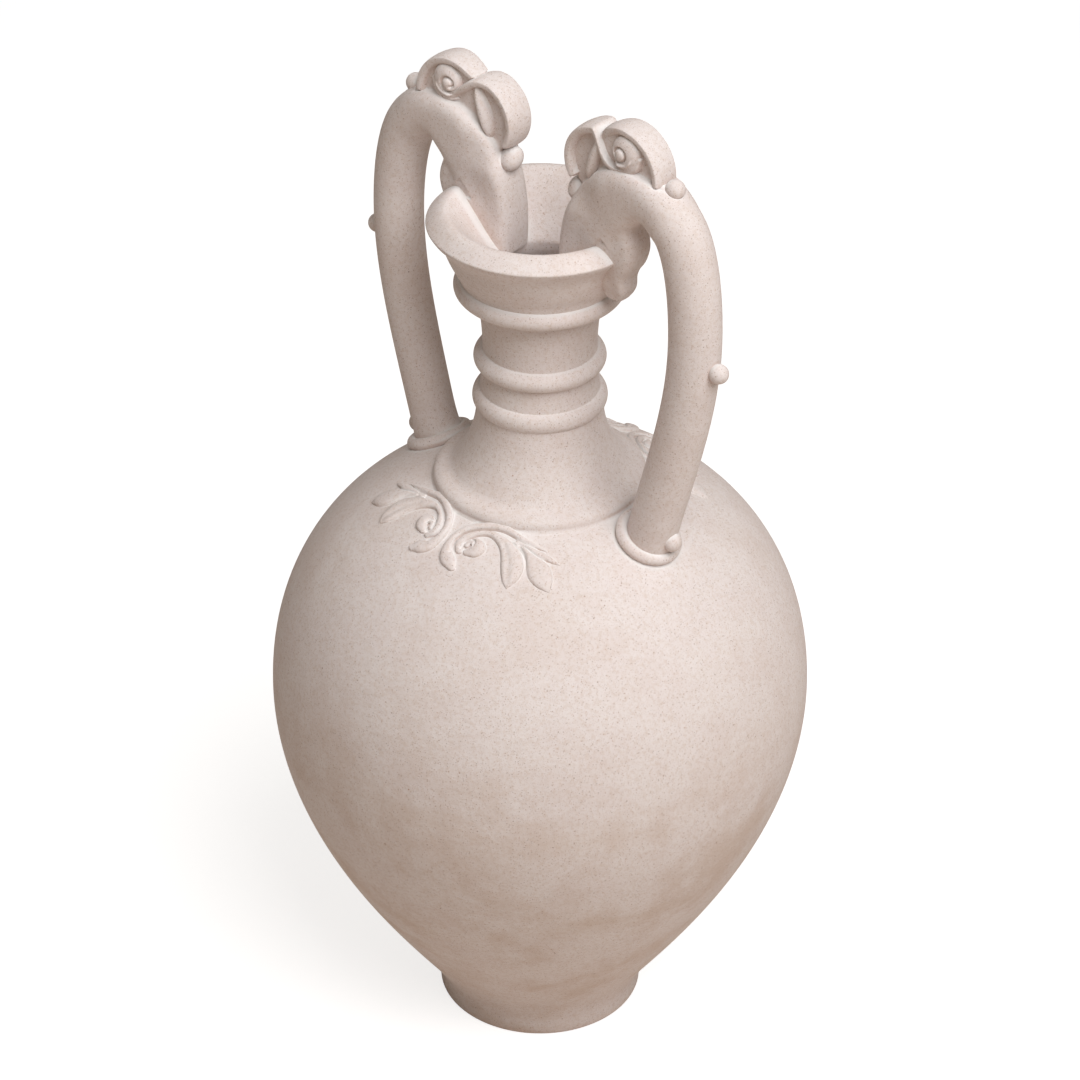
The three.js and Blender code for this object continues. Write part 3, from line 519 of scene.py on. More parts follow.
def cup_surface():
    """Mouth cup: flaring wall, sharp lip edge, sloping lip top and a dished inside."""
    z = NECK_TOP
    wall, dish = (smooth_line(np.add(line, (0, z)), 44) for line in (CUP_WALL, CUP_DISH))
    edge = (LIP_RADIUS, z + 37.4)
    lip = bezier([edge, (46.6, z + 42.9), LIP_CREST], 26)
    return revolved(np.vstack([
        [(34, z + 4.4), (34, z + 8)],
        wall[:-1],
        corner(wall[-2], edge, lip[3], 0.8),
        lip[3:-9],
        corner(lip[-10], LIP_CREST, (40.6, z + 42.2), 2.2, 11),
        dish,
        corner(dish[-1], (BORE_RADIUS, z + 17.5), (BORE_RADIUS, z + 14), 1.4),
        [(BORE_RADIUS, z + 4.4)],
    ]))


def stem_path(hand):
    """Centreline of a stem up to the head's joint, and the place where it leaves the body.

    The hand is 1 for the right handle, -1 for the left one and 0 for one that isn't shifted.
    """
    shoulder = upper_outline(400)[::-1]
    out = STEM_BASE_RADIUS + hand * STEM_BASE_SHIFT
    base = np.array([out, np.interp(out, shoulder[:, 0], shoulder[:, 1])])
    widest = (STEM_WIDEST[0] + hand * STEM_SHIFT, STEM_WIDEST[1])
    joint = (LIP_CREST[0] + hand * HEAD_SHIFT + JOINT_OUT, LIP_CREST[1] + JOINT_UP)
    lean = 90 - STEM_BASE_LEAN
    lower = bezier([
        along(base, lean, -STEM_ROOT),
        along(base, lean, STEM_BASE_REACH),
        along(widest, -90, STEM_MIDDLE_REACH),
        widest,
    ], STEM_LOWER_STEPS)
    upper = bezier([
        widest,
        along(widest, 90, STEM_TOP_REACH),
        along(joint, 90 + JOINT_TILT, -JOINT_REACH),
        joint,
    ], STEM_UPPER_STEPS)
    return np.vstack([lower, upper[1:]]), base


def circle(count):
    """Points of a unit circle."""
    turn = np.linspace(0, 2 * np.pi, count, endpoint=False)
    return np.stack([np.cos(turn), np.sin(turn)], axis=1)


def bar_surface(path, section, swell):
    """Section carried along a path in a handle's plane: centre + swell (a across + b left)."""
    return carried(in_plane(path), in_plane(left_of(directions(path))), ACROSS, section, swell)


def ball_surface(place, radius):
    """Ball at a place in a handle's plane: radius (cos b cos a, cos b sin a, sin b)."""
    turn = np.radians(np.linspace(-86, 86, 24))
    centres = np.stack([0 * turn, 0 * turn, radius * np.sin(turn)], axis=1) + (place[0], 0, place[1])
    return carried(centres, OUT, ACROSS, circle(36), radius * np.cos(turn))


def stem_surface(path, hand, thickness):
    """Stem: a round bar that thins a little towards its foot.

    The left one's foot also spreads towards the neck, by a distance that fades up the stem.
    """
    run = length_up_to(path)
    thick = thickness * (1 - STEM_THINNING[hand] * np.clip(1 - run / run[-1], 0, 1))
    fade = np.exp(-((np.clip(run - SPREAD_START, 0, None) / SPREAD_FADE) ** 1.3))
    spread = STEM_SPREAD * (hand < 0) * fade
    points, faces = bar_surface(path, circle(64), thick)
    grid = points[:-2].reshape(len(path), -1, 3)
    inward = (path[:, None, 0] - grid[..., 0]) / thick[:, None]
    grid[..., 0] -= spread[:, None] * np.clip(inward, 0, 1) ** 1.5
    return points, faces


def base_ring_surface(base):
    """Ring on the slope of the shoulder: a circle carried round the stem's foot."""
    shoulder = upper_outline(400)
    slope = directions(shoulder)[np.abs(shoulder[:, 0] - base[0]).argmin()]
    uphill = np.array([slope[0], 0, slope[1]])
    normal = np.array([slope[1], 0, -slope[0]])
    middle = np.array([base[0], 0, base[1]]) + BASE_RING_LIFT * normal + BASE_RING_INSET * uphill
    around, section = circle(120), circle(36)
    spoke = around[:, :1] * uphill + around[:, 1:] * np.array(ACROSS)
    tube = BASE_RING_THICKNESS * (section[None, :, :1] * spoke[:, None] + section[None, :, 1:] * normal)
    points = ((middle + BASE_RING_RADIUS * spoke)[:, None] + tube).reshape(-1, 3)
    return points, facing_out(points, [grid_faces(120, 36, wrap_rows=True)])


# Head: places measured out from the axis and up, for a head that isn't shifted
HEAD_JOINT = (LIP_CREST[0] + JOINT_OUT, LIP_CREST[1] + JOINT_UP)
# Points of the stem's line with which the bar of the cheek starts
STEM_BLEND = 24
MUZZLE_END = (26.9, 417.0)
CHEEK_REACH, MUZZLE_REACH = 27.0, 46.0
CHEEK_SWELL, CHEEK_BULGE = 3.3, 0.5
JOINT_RADIUS = 12.2
MUZZLE_DEPTH, MUZZLE_HALF_WIDTH = 11.2, 10.1
MUZZLE_SQUARENESS, MUZZLE_HOLLOW = 2.4, 0.09
# Throat: how far the line rises, and where along the head and over what share of it
THROAT_RISE, THROAT_PLACE, THROAT_SPREAD = 2.4, 0.22, 0.17
BALL_PLACE = (20.7, 459.5)
# Lower jaw: out, up, half depth and half width
JAW_LINE = [
    (46.6, 461, 4.6, 8.6), (47.7, 454, 6.3, 9.6), (48.9, 447, 8.3, 10.4), (49.4, 441, 9.0, 10.5),
    (48.5, 436, 8.5, 10.1), (46.2, 430, 7.2, 9.2), (45.0, 425, 6.9, 8.2), (45.2, 419.5, 7.0, 6.8),
    (44.6, 415.0, 5.2, 5.0),
]
JAW_SQUARENESS, JAW_HOLLOW = (2.4, 4.0), 0.17
BROW_CENTRE, BROW_RADIUS, BROW_DROOP = (50.7, 480.9), 20.9, 1.8
SNOUT_CENTRE, SNOUT_RADIUS = (34.9, 477.2), 18.6
WEB_HALF_WIDTH, WEB_INSET = 4.2, 1.6
# Upper edge of the cheek, from the nape round the eye and down before the leaf
LEDGE_LINE = [
    (80, 481), (72.7, 478.9), (66, 481.3), (60, 482), (56.5, 482.6), (51.3, 481.4), (45.6, 481),
    (40.9, 480.2), (37.3, 479.2), (35.2, 476.3), (33, 472.5), (30.6, 469.8), (28, 467.8),
    (24, 467.2), (8, 466.6),
]
MOUTH_CORNER, MOUTH_FOOT, MOUTH_CORNER_DEPTH = (42.3, 446.3), 437.5, 8.9
CUP_SEAT_HEIGHT = 412.6
# The snout leans to the back: how far, where the lean starts, and over what distances
SNOUT_LEAN, SNOUT_LEAN_OUT, SNOUT_LEAN_UP = 2.6, 44.0, 452.0
SNOUT_LEAN_RUN, SNOUT_LEAN_RISE = 16, 14
# Distances over which the parts of the head run into each other
JAW_BLEND, SEAT_BLEND, LEDGE_BLEND, WEB_BLEND, MOUTH_BLEND = 2.4, 2.6, 0.9, 1.0, 0.8
# Box that holds a head
HEAD_LOW, HEAD_HIGH = (13.0, -17.0, 409.0), (105.0, 17.0, 503.0)


def cheek_field(grid):
    """Signed field of cheek and muzzle: one bar from the stem's end along the head's line.

    Its depth and width go evenly from the stem's to the muzzle's, with a swell half way, and
    its section from round to square. At the throat the line rises and the bar gets thinner.
    """
    stem = stem_path(0)[0][-STEM_BLEND:-1]
    line = bezier([
        HEAD_JOINT,
        along(HEAD_JOINT, 90 + JOINT_TILT, CHEEK_REACH),
        along(MUZZLE_END, 90, MUZZLE_REACH),
        MUZZLE_END,
    ], 260)
    t = np.linspace(0, 1, len(line))
    hump = np.sin(np.pi * t)
    throat = THROAT_RISE * np.exp(-(((t - THROAT_PLACE) / THROAT_SPREAD) ** 2)) * np.clip(t / 0.06, 0, 1)
    line = line - throat[:, None] * left_of(directions(line))
    fade = np.linspace(JOINT_RADIUS - 0.35, JOINT_RADIUS + 0.12, len(stem))
    depth = fade[-1] + (MUZZLE_DEPTH - fade[-1]) * t + CHEEK_SWELL * hump - throat
    width = fade[-1] + (MUZZLE_HALF_WIDTH - fade[-1]) * t + CHEEK_BULGE * hump
    squareness = 2 + MUZZLE_SQUARENESS * np.clip(t / 0.5, 0, 1) ** 1.3
    hollow = MUZZLE_HOLLOW * np.clip((t - 0.35) / 0.4, 0, 1)
    plain = np.zeros(len(stem))
    starts, runs = (fade, fade, plain + 2, plain), (depth, width, squareness, hollow)
    sizes = [np.concatenate(pair) for pair in zip(starts, runs)]
    return swept_field(grid, np.vstack([stem, line]), *sizes)


def head_field(grid):
    """Signed field of a head with both jaws.

    The lower jaw is a second bar, joined to the cheek and muzzle. Above the ledge only a thin
    web is left, which fills the crests. A shallow wedge parts the jaws.
    """
    u, y, z = grid
    jaw_line = smooth_line(JAW_LINE, 160)
    squareness = np.linspace(*JAW_SQUARENESS, len(jaw_line))
    jaw = swept_field(grid, jaw_line[:, :2], jaw_line[:, 2], jaw_line[:, 3], squareness, JAW_HOLLOW)
    both = smooth_min(cheek_field(grid), jaw, JAW_BLEND)
    both = smooth_max(both, CUP_SEAT_HEIGHT - z, SEAT_BLEND)
    under = nearest(*np.broadcast_arrays(u, z), smooth_line(LEDGE_LINE, 240))[1]
    recess = np.maximum(under, WEB_HALF_WIDTH - np.abs(y))
    both = smooth_max(both, -recess, LEDGE_BLEND)
    brow = apart(u, z, BROW_CENTRE) - (BROW_RADIUS - WEB_INSET)
    snout = apart(u, z, SNOUT_CENTRE) - (SNOUT_RADIUS - WEB_INSET)
    web = np.maximum(np.minimum(brow, snout), np.abs(y) - WEB_HALF_WIDTH)
    both = smooth_min(both, web, WEB_BLEND)
    inner = -0.79 * (u - MOUTH_CORNER[0]) + 0.61 * (z - MOUTH_CORNER[1])
    outer = 0.80 * (u - MOUTH_CORNER[0]) + 0.60 * (z - MOUTH_CORNER[1])
    ends = np.maximum(MOUTH_FOOT - z, MOUTH_CORNER_DEPTH - np.abs(y))
    wedge = np.maximum(np.maximum(inner, outer), ends)
    return smooth_max(both, -wedge, MOUTH_BLEND)


def head_surface():
    """Head with both jaws, meshed where its field is zero."""
    u, y, z = samples(HEAD_LOW, HEAD_HIGH, NET_STEP)
    grid = u[:, None, None], y[None, :, None], z[None, None, :]
    points, faces = surface_net(head_field(grid), HEAD_LOW, NET_STEP)
    return relaxed(points, faces, 3), faces


def carved(relief, low, high, floor):
    """Body between a relief over a flat chart and a plane a little under it."""
    x, y, lift = samples(low, high, RELIEF_STEP)
    height = relief(*np.meshgrid(x, y, indexing="ij"))
    field = np.maximum(lift[None, None, :] - height[:, :, None], -floor - lift[None, None, :])
    points, faces = surface_net(field, low, RELIEF_STEP)
    return relaxed(points, faces, 2), faces


# Straps: the run over which an end is rounded, and the crests' arcs in degrees
STRAP_END = 1.2
BROW_FRONT, BROW_BACK = 131, -5
SNOUT_START, LID_START = 217, 93


def strap_section(half_width, edge, middle, crown):
    """Section of a strap: a crowned outer face, thin sharp sides and a thicker middle inside.

    With q from -1 to 1 across, the outer face lies at crown (1 - q^2) and the inner one at
    -edge - (middle - edge) sqrt(1 - q^2), both drawn to the middle of the side near q = 1.
    """
    q = np.sin(np.linspace(-np.pi / 2, np.pi / 2, 40))
    close = (1 - np.abs(q) ** 8) ** (1 / 8)
    outer = -edge / 2 + edge / 2 * close + crown * (1 - q**2)
    inner = -edge / 2 - edge / 2 * close - (middle - edge) * np.sqrt(1 - q**2)
    y = np.concatenate([q, q[-2:0:-1]]) * half_width
    return np.stack([y, np.concatenate([outer, inner[-2:0:-1]])], axis=1)


def strap_surface(path, section, taper):
    """Strap of clay laid on a path in a handle's plane, with rounded ends.

    The taper is one number across and one out for each place of the path.
    """
    length = np.hypot(*np.diff(path, axis=0).T).sum()
    ends = rounded_ends(len(path), length, STRAP_END)
    return bar_surface(path, section, ends[:, None] * taper)


def arc(centre, radius, start, end, count):
    """Arc of a circle between two angles in degrees, in a handle's plane."""
    turn = np.radians(np.linspace(start, end, count))
    return np.stack([centre[0] + radius * np.cos(turn), centre[1] + radius * np.sin(turn)], axis=1)


def brow_surface():
    """Brow crest: a strap over the eye, narrower and lower where it meets the snout crest."""
    path = arc(BROW_CENTRE, BROW_RADIUS, BROW_FRONT, BROW_BACK, 120)
    front = np.clip(1 - np.linspace(0, 1, len(path)) / 0.4, 0, 1)
    path += BROW_DROOP * front[:, None] ** 2 * (np.array(BROW_CENTRE) - path) / BROW_RADIUS
    taper = np.stack([1 - 0.24 * front**1.5, 1 + 0 * front], axis=1)
    return strap_surface(path, strap_section(half_width=7.0, edge=1.7, middle=4.6, crown=0.8), taper)


# The lid is the snout crest's way in under the brow and the eye, steeper in the right head
LID_LINES = {
    1: [
        (35.8, 493.9), (37.7, 490.4), (39.8, 487.0), (42.4, 484.0), (45.6, 482.2), (49.4, 481.8),
        (53.2, 482.8),
    ],
    -1: [
        (38.8, 494.6), (42.5, 491.8), (46.2, 488.8), (49.6, 486.3), (52.8, 485.1), (55.5, 485.6),
        (57.2, 487.8),
    ],
}


def snout_surface(hand):
    """Snout crest and lid: one strap up round the front of the head and down under the eye."""
    front = arc(SNOUT_CENTRE, SNOUT_RADIUS, SNOUT_START, LID_START, 14)
    path = smooth_line(np.vstack([front, LID_LINES[hand]]), 200)
    inward = np.clip((path[:, 0] - SNOUT_CENTRE[0]) / 20, 0, 1) * (path[:, 1] > SNOUT_CENTRE[1])
    taper = np.stack([1 - 0.03 * inward, 1 - 0.5 * inward], axis=1)
    return strap_surface(path, strap_section(half_width=7.6, edge=1.7, middle=4.6, crown=0.9), taper)


def stroke_height(line, u, z, fall):
    """Height of a stroke of clay over a flat chart.

    A line's columns are its two coordinates, its half width and its height. With q the
    distance from the line over the half width there, the height is its own times
    (1 - q^3)^(1 / 2), and beyond the edge it falls away below the ground.
    """
    index, off = nearest(u, z, line[:, :2])
    share = np.abs(off) / line[index, 2]
    return np.sqrt(np.clip(1 - share**3, 0, 1)) * line[index, 3] - fall * np.clip(share - 1, 0, 1)


def groove_depth(line, u, z, depth, half_width):
    """Depth of a groove along a line: depth exp(-(distance / half width)^2)."""
    off = nearest(u, z, line[:, :2])[1]
    return depth * np.exp(-((off / half_width) ** 2))


# Eye: a domed disc on the web, wound by a groove, with a rim and a whorl beneath it
EYE_CENTRE, EYE_RADIUS, EYE_HEIGHT = (53.2, 490.0), 8.3, 4.5
EYE_COIL_CENTRE, EYE_COIL_RADIUS = (51.3, 489.9), 2.2
EYE_GROOVE = [
    (44.4, 493.2), (44.8, 490.4), (46.6, 487.6), (49.7, 485.9), (52.9, 486.7), (54.7, 489.4),
    (53.6, 492.2), (50.9, 493), (48.7, 491.6), (48.4, 489.8), (49.4, 488.9),
]
# Rim and whorl: out, up, half width and height
EYE_RIM = [
    (47.6, 485.8, 0.3, 2.0), (49.6, 485.0, 0.9, 4.3), (52.4, 484.8, 1.0, 4.7), (55.5, 485.9, 1.0, 4.7),
    (57.3, 488, 0.9, 4.6), (58.2, 490.4, 0.4, 3.6),
]
EYE_WHORL = [
    (61.0, 489.5, 1.2, 2.6), (58.4, 485.2, 2.4, 3.4), (54.4, 482.8, 2.5, 3.4), (50.4, 482.4, 1.7, 2.5),
    (47.0, 482.6, 0.4, 0.6),
]
EYE_LOW, EYE_HIGH = (35.0, 477.0, -1.0), (64.0, 500.0, 7.0)


def eye_relief(u, z):
    """Height of the eye above the web: the dome (1 - q^2.6)^(1 / 2), the whorl and the rim, less
    the groove that winds in round a small raised coil."""
    share = apart(u, z, EYE_CENTRE) / EYE_RADIUS
    height = EYE_HEIGHT * np.sqrt(np.clip(1 - share**2.6, 0, 1)) - 3 * np.clip(share - 1, 0, 1)
    for stroke, count in ((EYE_WHORL, 120), (EYE_RIM, 100)):
        height = smooth_max(height, stroke_height(smooth_line(stroke, count), u, z, fall=3.0), 0.5)
    coil = apart(u, z, EYE_COIL_CENTRE) / EYE_COIL_RADIUS
    height = height + 0.7 * np.exp(-(coil**2))
    return height - groove_depth(smooth_line(EYE_GROOVE, 160), u, z, depth=1.7, half_width=0.62)


def eye_surface(side):
    """Scroll eye: its relief carved on one side of the web."""
    points, faces = carved(eye_relief, EYE_LOW, EYE_HIGH, 0.5)
    points = np.stack([points[:, 0], side * (WEB_HALF_WIDTH + points[:, 2]), points[:, 1]], axis=1)
    return points, facing_out(points, faces)


# Leaf: out, up, half width and height
LEAF_LINE = [
    (37.0, 494.2, 0.3, 0.6), (36.6, 491.4, 1.3, 2.2), (35.6, 487.8, 2.4, 3.5), (34.1, 484.0, 3.1, 4.3),
    (32.7, 480.2, 3.4, 4.8), (31.5, 476.2, 3.3, 4.8), (30.6, 472.8, 2.8, 4.3), (30.1, 470.0, 1.9, 3.0),
    (29.9, 468.0, 0.8, 1.2),
]
LEAF_SINK = 0.3


def leaf_surface(side):
    """Leaf before the cheek: a pointed sliver with a soft ridge, lying on the web."""
    line = smooth_line(LEAF_LINE, 90)
    path = line[:, :2]
    turn = np.linspace(0, 2 * np.pi, 40, endpoint=False)
    peak = np.sign(np.sin(turn)) * np.abs(np.sin(turn)) ** 1.35
    section = np.stack([np.cos(turn), peak], axis=1)
    centres = in_plane(path)
    centres[:, 1] = side * (WEB_HALF_WIDTH - LEAF_SINK)
    return carried(centres, (0.0, side, 0.0), in_plane(left_of(directions(path))), section, line[:, 2:])


# Sprays: directions of their middles in degrees, and the radius at which the chart is true
SPRAY_CENTRES = {"front": -90.5, "back": 87.5}
CHART_RADIUS = 60.0
# Corners of the box that holds half a spray: round, down from the collar and up
CHART_LOW, CHART_HIGH = (-1.5, -4.0, -1.2), (56.0, 37.0, 3.2)
# Strokes: degrees round from the middle, millimetres down from the collar, half width, height.
# They are the ribbon, the stem with the near leaf, the spiral, the far leaf and the tendril.
SPRAY_STROKES = [
    [
        (9.4, 28.2, 1.8, 1.5), (7.4, 26.2, 3.1, 2.0), (5.0, 23.4, 3.0, 2.1), (3.2, 19.2, 2.1, 2.1),
        (3.0, 14.0, 1.7, 2.2), (4.4, 9.4, 1.8, 2.2), (8.0, 5.4, 2.0, 2.3), (13.0, 2.9, 2.1, 2.3),
        (19.0, 1.2, 2.3, 2.3), (25.0, 1.6, 2.2, 2.2), (30.0, 3.9, 1.8, 2.0), (35.0, 6.4, 1.5, 1.8),
        (40.5, 9.5, 1.1, 1.4), (45.5, 12.4, 0.35, 0.5),
    ], [
        (8.6, 19.2, 1.6, 1.4), (7.4, 16.4, 2.5, 2.0), (7.5, 12.6, 2.3, 2.1), (10.0, 9.0, 1.9, 2.1),
        (14.4, 6.4, 1.7, 2.0), (19.0, 5.9, 1.8, 2.0), (23.6, 7.8, 2.5, 2.1), (27.6, 11.2, 3.6, 2.2),
        (30.4, 15.8, 4.6, 2.3), (31.6, 20.6, 4.8, 2.3), (31.6, 25.2, 3.9, 2.2), (31.2, 29.2, 2.3, 1.8),
        (31.0, 32.4, 0.3, 0.5),
    ], [
        (12.0, 18.8, 1.6, 1.6), (14.4, 17.2, 3.2, 2.2), (15.2, 14.6, 3.8, 2.4), (13.4, 12.8, 2.8, 2.2),
        (11.0, 13.2, 1.6, 1.8), (10.2, 15.4, 1.4, 1.6),
    ], [
        (31.0, 8.0, 1.2, 1.6), (35.8, 11.2, 2.4, 2.0), (39.4, 15.8, 3.7, 2.1), (41.4, 20.8, 4.7, 2.2),
        (42.6, 25.6, 4.5, 2.1), (43.9, 29.8, 3.0, 1.7), (45.2, 33.4, 0.4, 0.5),
    ], [
        (32.0, 6.8, 1.4, 1.6), (38.0, 11.0, 1.9, 1.8), (43.0, 14.6, 1.8, 1.7), (46.8, 17.4, 1.3, 1.4),
        (50.2, 19.8, 0.35, 0.4),
    ],
]
SPRAY_GROOVES = [
    [
        (5.8, 21.6), (5.0, 18.0), (5.0, 14.3), (6.7, 10.2), (11.0, 6.5), (16.0, 4.5), (21.0, 3.6),
        (28.4, 5.3), (35.5, 8.9), (43.0, 12.4),
    ],
    [(12.2, 10.0), (15.0, 8.3), (18.5, 8.7), (22.0, 11.4), (24.6, 15.0)],
    [(8.9, 18.0), (9.0, 14.4), (11.0, 12.0), (13.2, 12.8), (13.4, 15.0)],
    [(28.8, 6.6), (33.4, 9.2), (37.8, 12.6), (42.0, 16.4), (46.0, 19.0)],
    [(33.0, 10.0), (35.8, 14.6), (36.6, 20.0), (36.4, 25.0)],
]
LEAF_HOLLOW = [(26.6, 11.2), (29.2, 17.0), (30.2, 22.5), (30.8, 29.5)]
GROOVE_DEPTH, GROOVE_HALF_WIDTH = 1.15, 0.62
LEAF_HOLLOW_DEPTH, LEAF_HOLLOW_HALF_WIDTH = 0.55, 1.3


def on_chart(line, count):
    """Smooth line over the chart of a spray: degrees become millimetres round the shoulder."""
    line = np.array(line, float)
    line[:, 0] = np.radians(line[:, 0]) * CHART_RADIUS
    return smooth_line(line, count)


def spray_relief(x, y):
    """Height of half a spray over its chart: the highest stroke counts, less its grooves."""
    height = np.full(np.broadcast(x, y).shape, -2.0)
    for stroke in SPRAY_STROKES:
        height = smooth_max(height, stroke_height(on_chart(stroke, 160), x, y, fall=2.4), 0.3)
    for groove in SPRAY_GROOVES:
        height = height - groove_depth(on_chart(groove, 120), x, y, GROOVE_DEPTH, GROOVE_HALF_WIDTH)
    hollow = on_chart(LEAF_HOLLOW, 80)
    return height - groove_depth(hollow, x, y, LEAF_HOLLOW_DEPTH, LEAF_HOLLOW_HALF_WIDTH)


def over_shoulder(points, centre, side):
    """Chart places laid over the shoulder: an angle about the axis, and a way down from the
    collar along the outline, with the lift square to the surface."""
    round_way, drop, lift = points.T
    outline = upper_outline(900)[::-1]
    run = length_up_to(outline)
    table = np.hstack([outline, directions(outline)])
    radius, height, slope, fall = (np.interp(drop, run, column) for column in table.T)
    beyond = np.minimum(drop, 0)
    radius = radius + slope * beyond - fall * lift
    height = height + fall * beyond + slope * lift
    azimuth = centre + side * round_way / CHART_RADIUS
    return np.stack([radius * np.cos(azimuth), radius * np.sin(azimuth), height], axis=1)


def spray_surface(centre, side):
    """Half of a spray: its relief carved on the shoulder, to one side of the spray's middle."""
    points, faces = carved(spray_relief, CHART_LOW, CHART_HIGH, 0.7)
    points = over_shoulder(points, centre, side)
    return points, facing_out(points, faces)


class Signal:
    """Number that varies over a surface, with Python's operators as Math nodes."""

    def __init__(self, recipe, socket):
        self.recipe = recipe
        self.socket = socket

    def math(self, operation, *values):
        node = self.recipe.node("ShaderNodeMath", {"operation": operation}, dict(enumerate(values)))
        return Signal(self.recipe, node.outputs[0])

    def __add__(self, other):
        return self.math("ADD", self, other)

    def __radd__(self, other):
        return self.math("ADD", other, self)

    def __sub__(self, other):
        return self.math("SUBTRACT", self, other)

    def __rsub__(self, other):
        return self.math("SUBTRACT", other, self)

    def __mul__(self, other):
        return self.math("MULTIPLY", self, other)

    def __rmul__(self, other):
        return self.math("MULTIPLY", other, self)

    def clipped(self):
        """The same number, kept between 0 and 1."""
        return self.recipe.step(self, 0.0, 1.0, "LINEAR")


class Recipe:
    """Node tree of one finish."""

    def __init__(self, name):
        self.material = bpy.data.materials.new(name)
        self.material.use_nodes = True
        self.tree = self.material.node_tree
        self.tree.nodes.clear()

    @classmethod
    def of_tree(cls, tree):
        """Recipe that writes into a node tree that is already there."""
        recipe = cls.__new__(cls)
        recipe.tree = tree
        tree.nodes.clear()
        return recipe

    def node(self, kind, settings, values):
        """Node of a kind: its settings are set first, then its sockets get values or links."""
        node = self.tree.nodes.new(kind)
        for name, value in settings.items():
            setattr(node, name, value)
        for name, value in values.items():
            socket = node.inputs[name]
            if isinstance(value, Signal):
                value = value.socket
            if isinstance(value, bpy.types.NodeSocket):
                self.tree.links.new(value, socket)
            else:
                socket.default_value = value
        return node

    def place(self):
        """Object coordinates."""
        return self.node("ShaderNodeTexCoord", {}, {}).outputs["Object"]

    def noise(self, place, scale, detail, roughness, distortion=0.0):
        """Noise from 0 to 1, with a scale in features a metre."""
        values = {
            "Vector": place, "Scale": scale, "Detail": detail, "Roughness": roughness,
            "Distortion": distortion,
        }
        return Signal(self, self.node("ShaderNodeTexNoise", {}, values).outputs["Fac"])

    def cells(self, place, scale, output="Distance"):
        """Distance to the nearest point of a random scatter, or that point's random colour."""
        node = self.node("ShaderNodeTexVoronoi", {"feature": "F1"}, {"Vector": place, "Scale": scale})
        return node.outputs[output]

    def stretched(self, place, scale):
        """Coordinates multiplied by a scale for each axis."""
        return self.node("ShaderNodeMapping", {}, {"Vector": place, "Scale": scale}).outputs[0]

    def step(self, value, low, high, kind="SMOOTHSTEP"):
        """Rise from 0 to 1 between two values."""
        values = {"Value": value, "From Min": low, "From Max": high}
        node = self.node("ShaderNodeMapRange", {"interpolation_type": kind}, values)
        return Signal(self, node.outputs["Result"])

    def mix(self, amount, under, over):
        """Colour mixed from one to the other by an amount."""
        return self.node("ShaderNodeMix", {"data_type": "RGBA"}, {0: amount, 6: under, 7: over}).outputs[2]

    def channel(self, colour, name):
        """One channel of a colour as a number."""
        return Signal(self, self.node("ShaderNodeSeparateColor", {}, {"Color": colour}).outputs[name])

    def upward(self, vector):
        """Upward part of a vector as a number."""
        return Signal(self, self.node("ShaderNodeSeparateXYZ", {}, {"Vector": vector}).outputs["Z"])

    def shader(self, kind, colour, strength=None):
        """Plain shader of a kind with its colour, and a strength if it gives light."""
        values = {"Color": colour} if strength is None else {"Color": colour, "Strength": strength}
        return self.node(f"ShaderNode{kind}", {}, values).outputs[0]

    def finish(self, colour, roughness, normal):
        """Principled surface with these inputs."""
        values = {
            "Base Color": colour, "Roughness": roughness, "Normal": normal, "Specular IOR Level": 0.3,
        }
        surface = self.node("ShaderNodeBsdfPrincipled", {}, values)
        self.node("ShaderNodeOutputMaterial", {}, {"Surface": surface.outputs[0]})
        return self.material


# Specks: cells a metre, share of the cells that hold one, size in cells, and strength
SPECKS = [
    (1500.0, 0.55, 0.38, 0.32), (900.0, 0.36, 0.34, 0.48), (430.0, 0.16, 0.18, 0.70),
    (160.0, 0.10, 0.085, 0.80),
]
# Heights between which the beige clouds fade out, and reach of the creases, in metres
CLOUD_TOP, CLOUD_FULL = 0.26, 0.12
CREASE_REACH = 0.008


def colour(value):
    """Colour of a property as a socket takes it."""
    return (*value, 1.0)


def specked(recipe, place, base, settings):
    """Clay with specks: in each size of cell some hold a round spot, brown to rust."""
    for scale, share, size, strength in SPECKS:
        scatter = recipe.cells(place, scale, "Color")
        chosen = recipe.step(recipe.channel(scatter, "Red"), 1 - share, 1 - share + 0.02)
        spot = 1 - recipe.step(Signal(recipe, recipe.cells(place, scale)), size * 0.45, size)
        tone = recipe.mix(recipe.channel(scatter, "Green"), colour(settings.speck), colour(settings.rust))
        base = recipe.mix(chosen * spot * strength * settings.speck_amount, base, tone)
    return base


def dust_and_painted_shade(recipe, place, base, patches, settings):
    """Clay with painted shade, a darker brown tint in its hollows and under its edges, and pale dust lying in
    its creases that face up.
    """
    crease = {"Distance": CREASE_REACH}
    near = recipe.node("ShaderNodeAmbientOcclusion", {"samples": 10}, crease).outputs["AO"]
    hollow = 1 - Signal(recipe, near)
    upward = recipe.upward(recipe.node("ShaderNodeNewGeometry", {}, {}).outputs["Normal"])
    # Painted shade: a darker brown tint laid in hollows and on faces that do not turn up
    painted_shade = recipe.step(hollow + patches * 0.25, 0.26, 0.62) * (1 - recipe.step(upward, 0.0, 0.7))
    base = recipe.mix(painted_shade * settings.painted_shade_amount, base, colour(settings.painted_shade))
    ragged = upward + recipe.noise(place, 230.0, 3.0, 0.65) * 0.5
    dust = recipe.step(hollow, 0.12, 0.34) * recipe.step(ragged, 0.25, 0.85)
    return recipe.mix(dust * settings.dust_amount, base, colour(settings.dust))


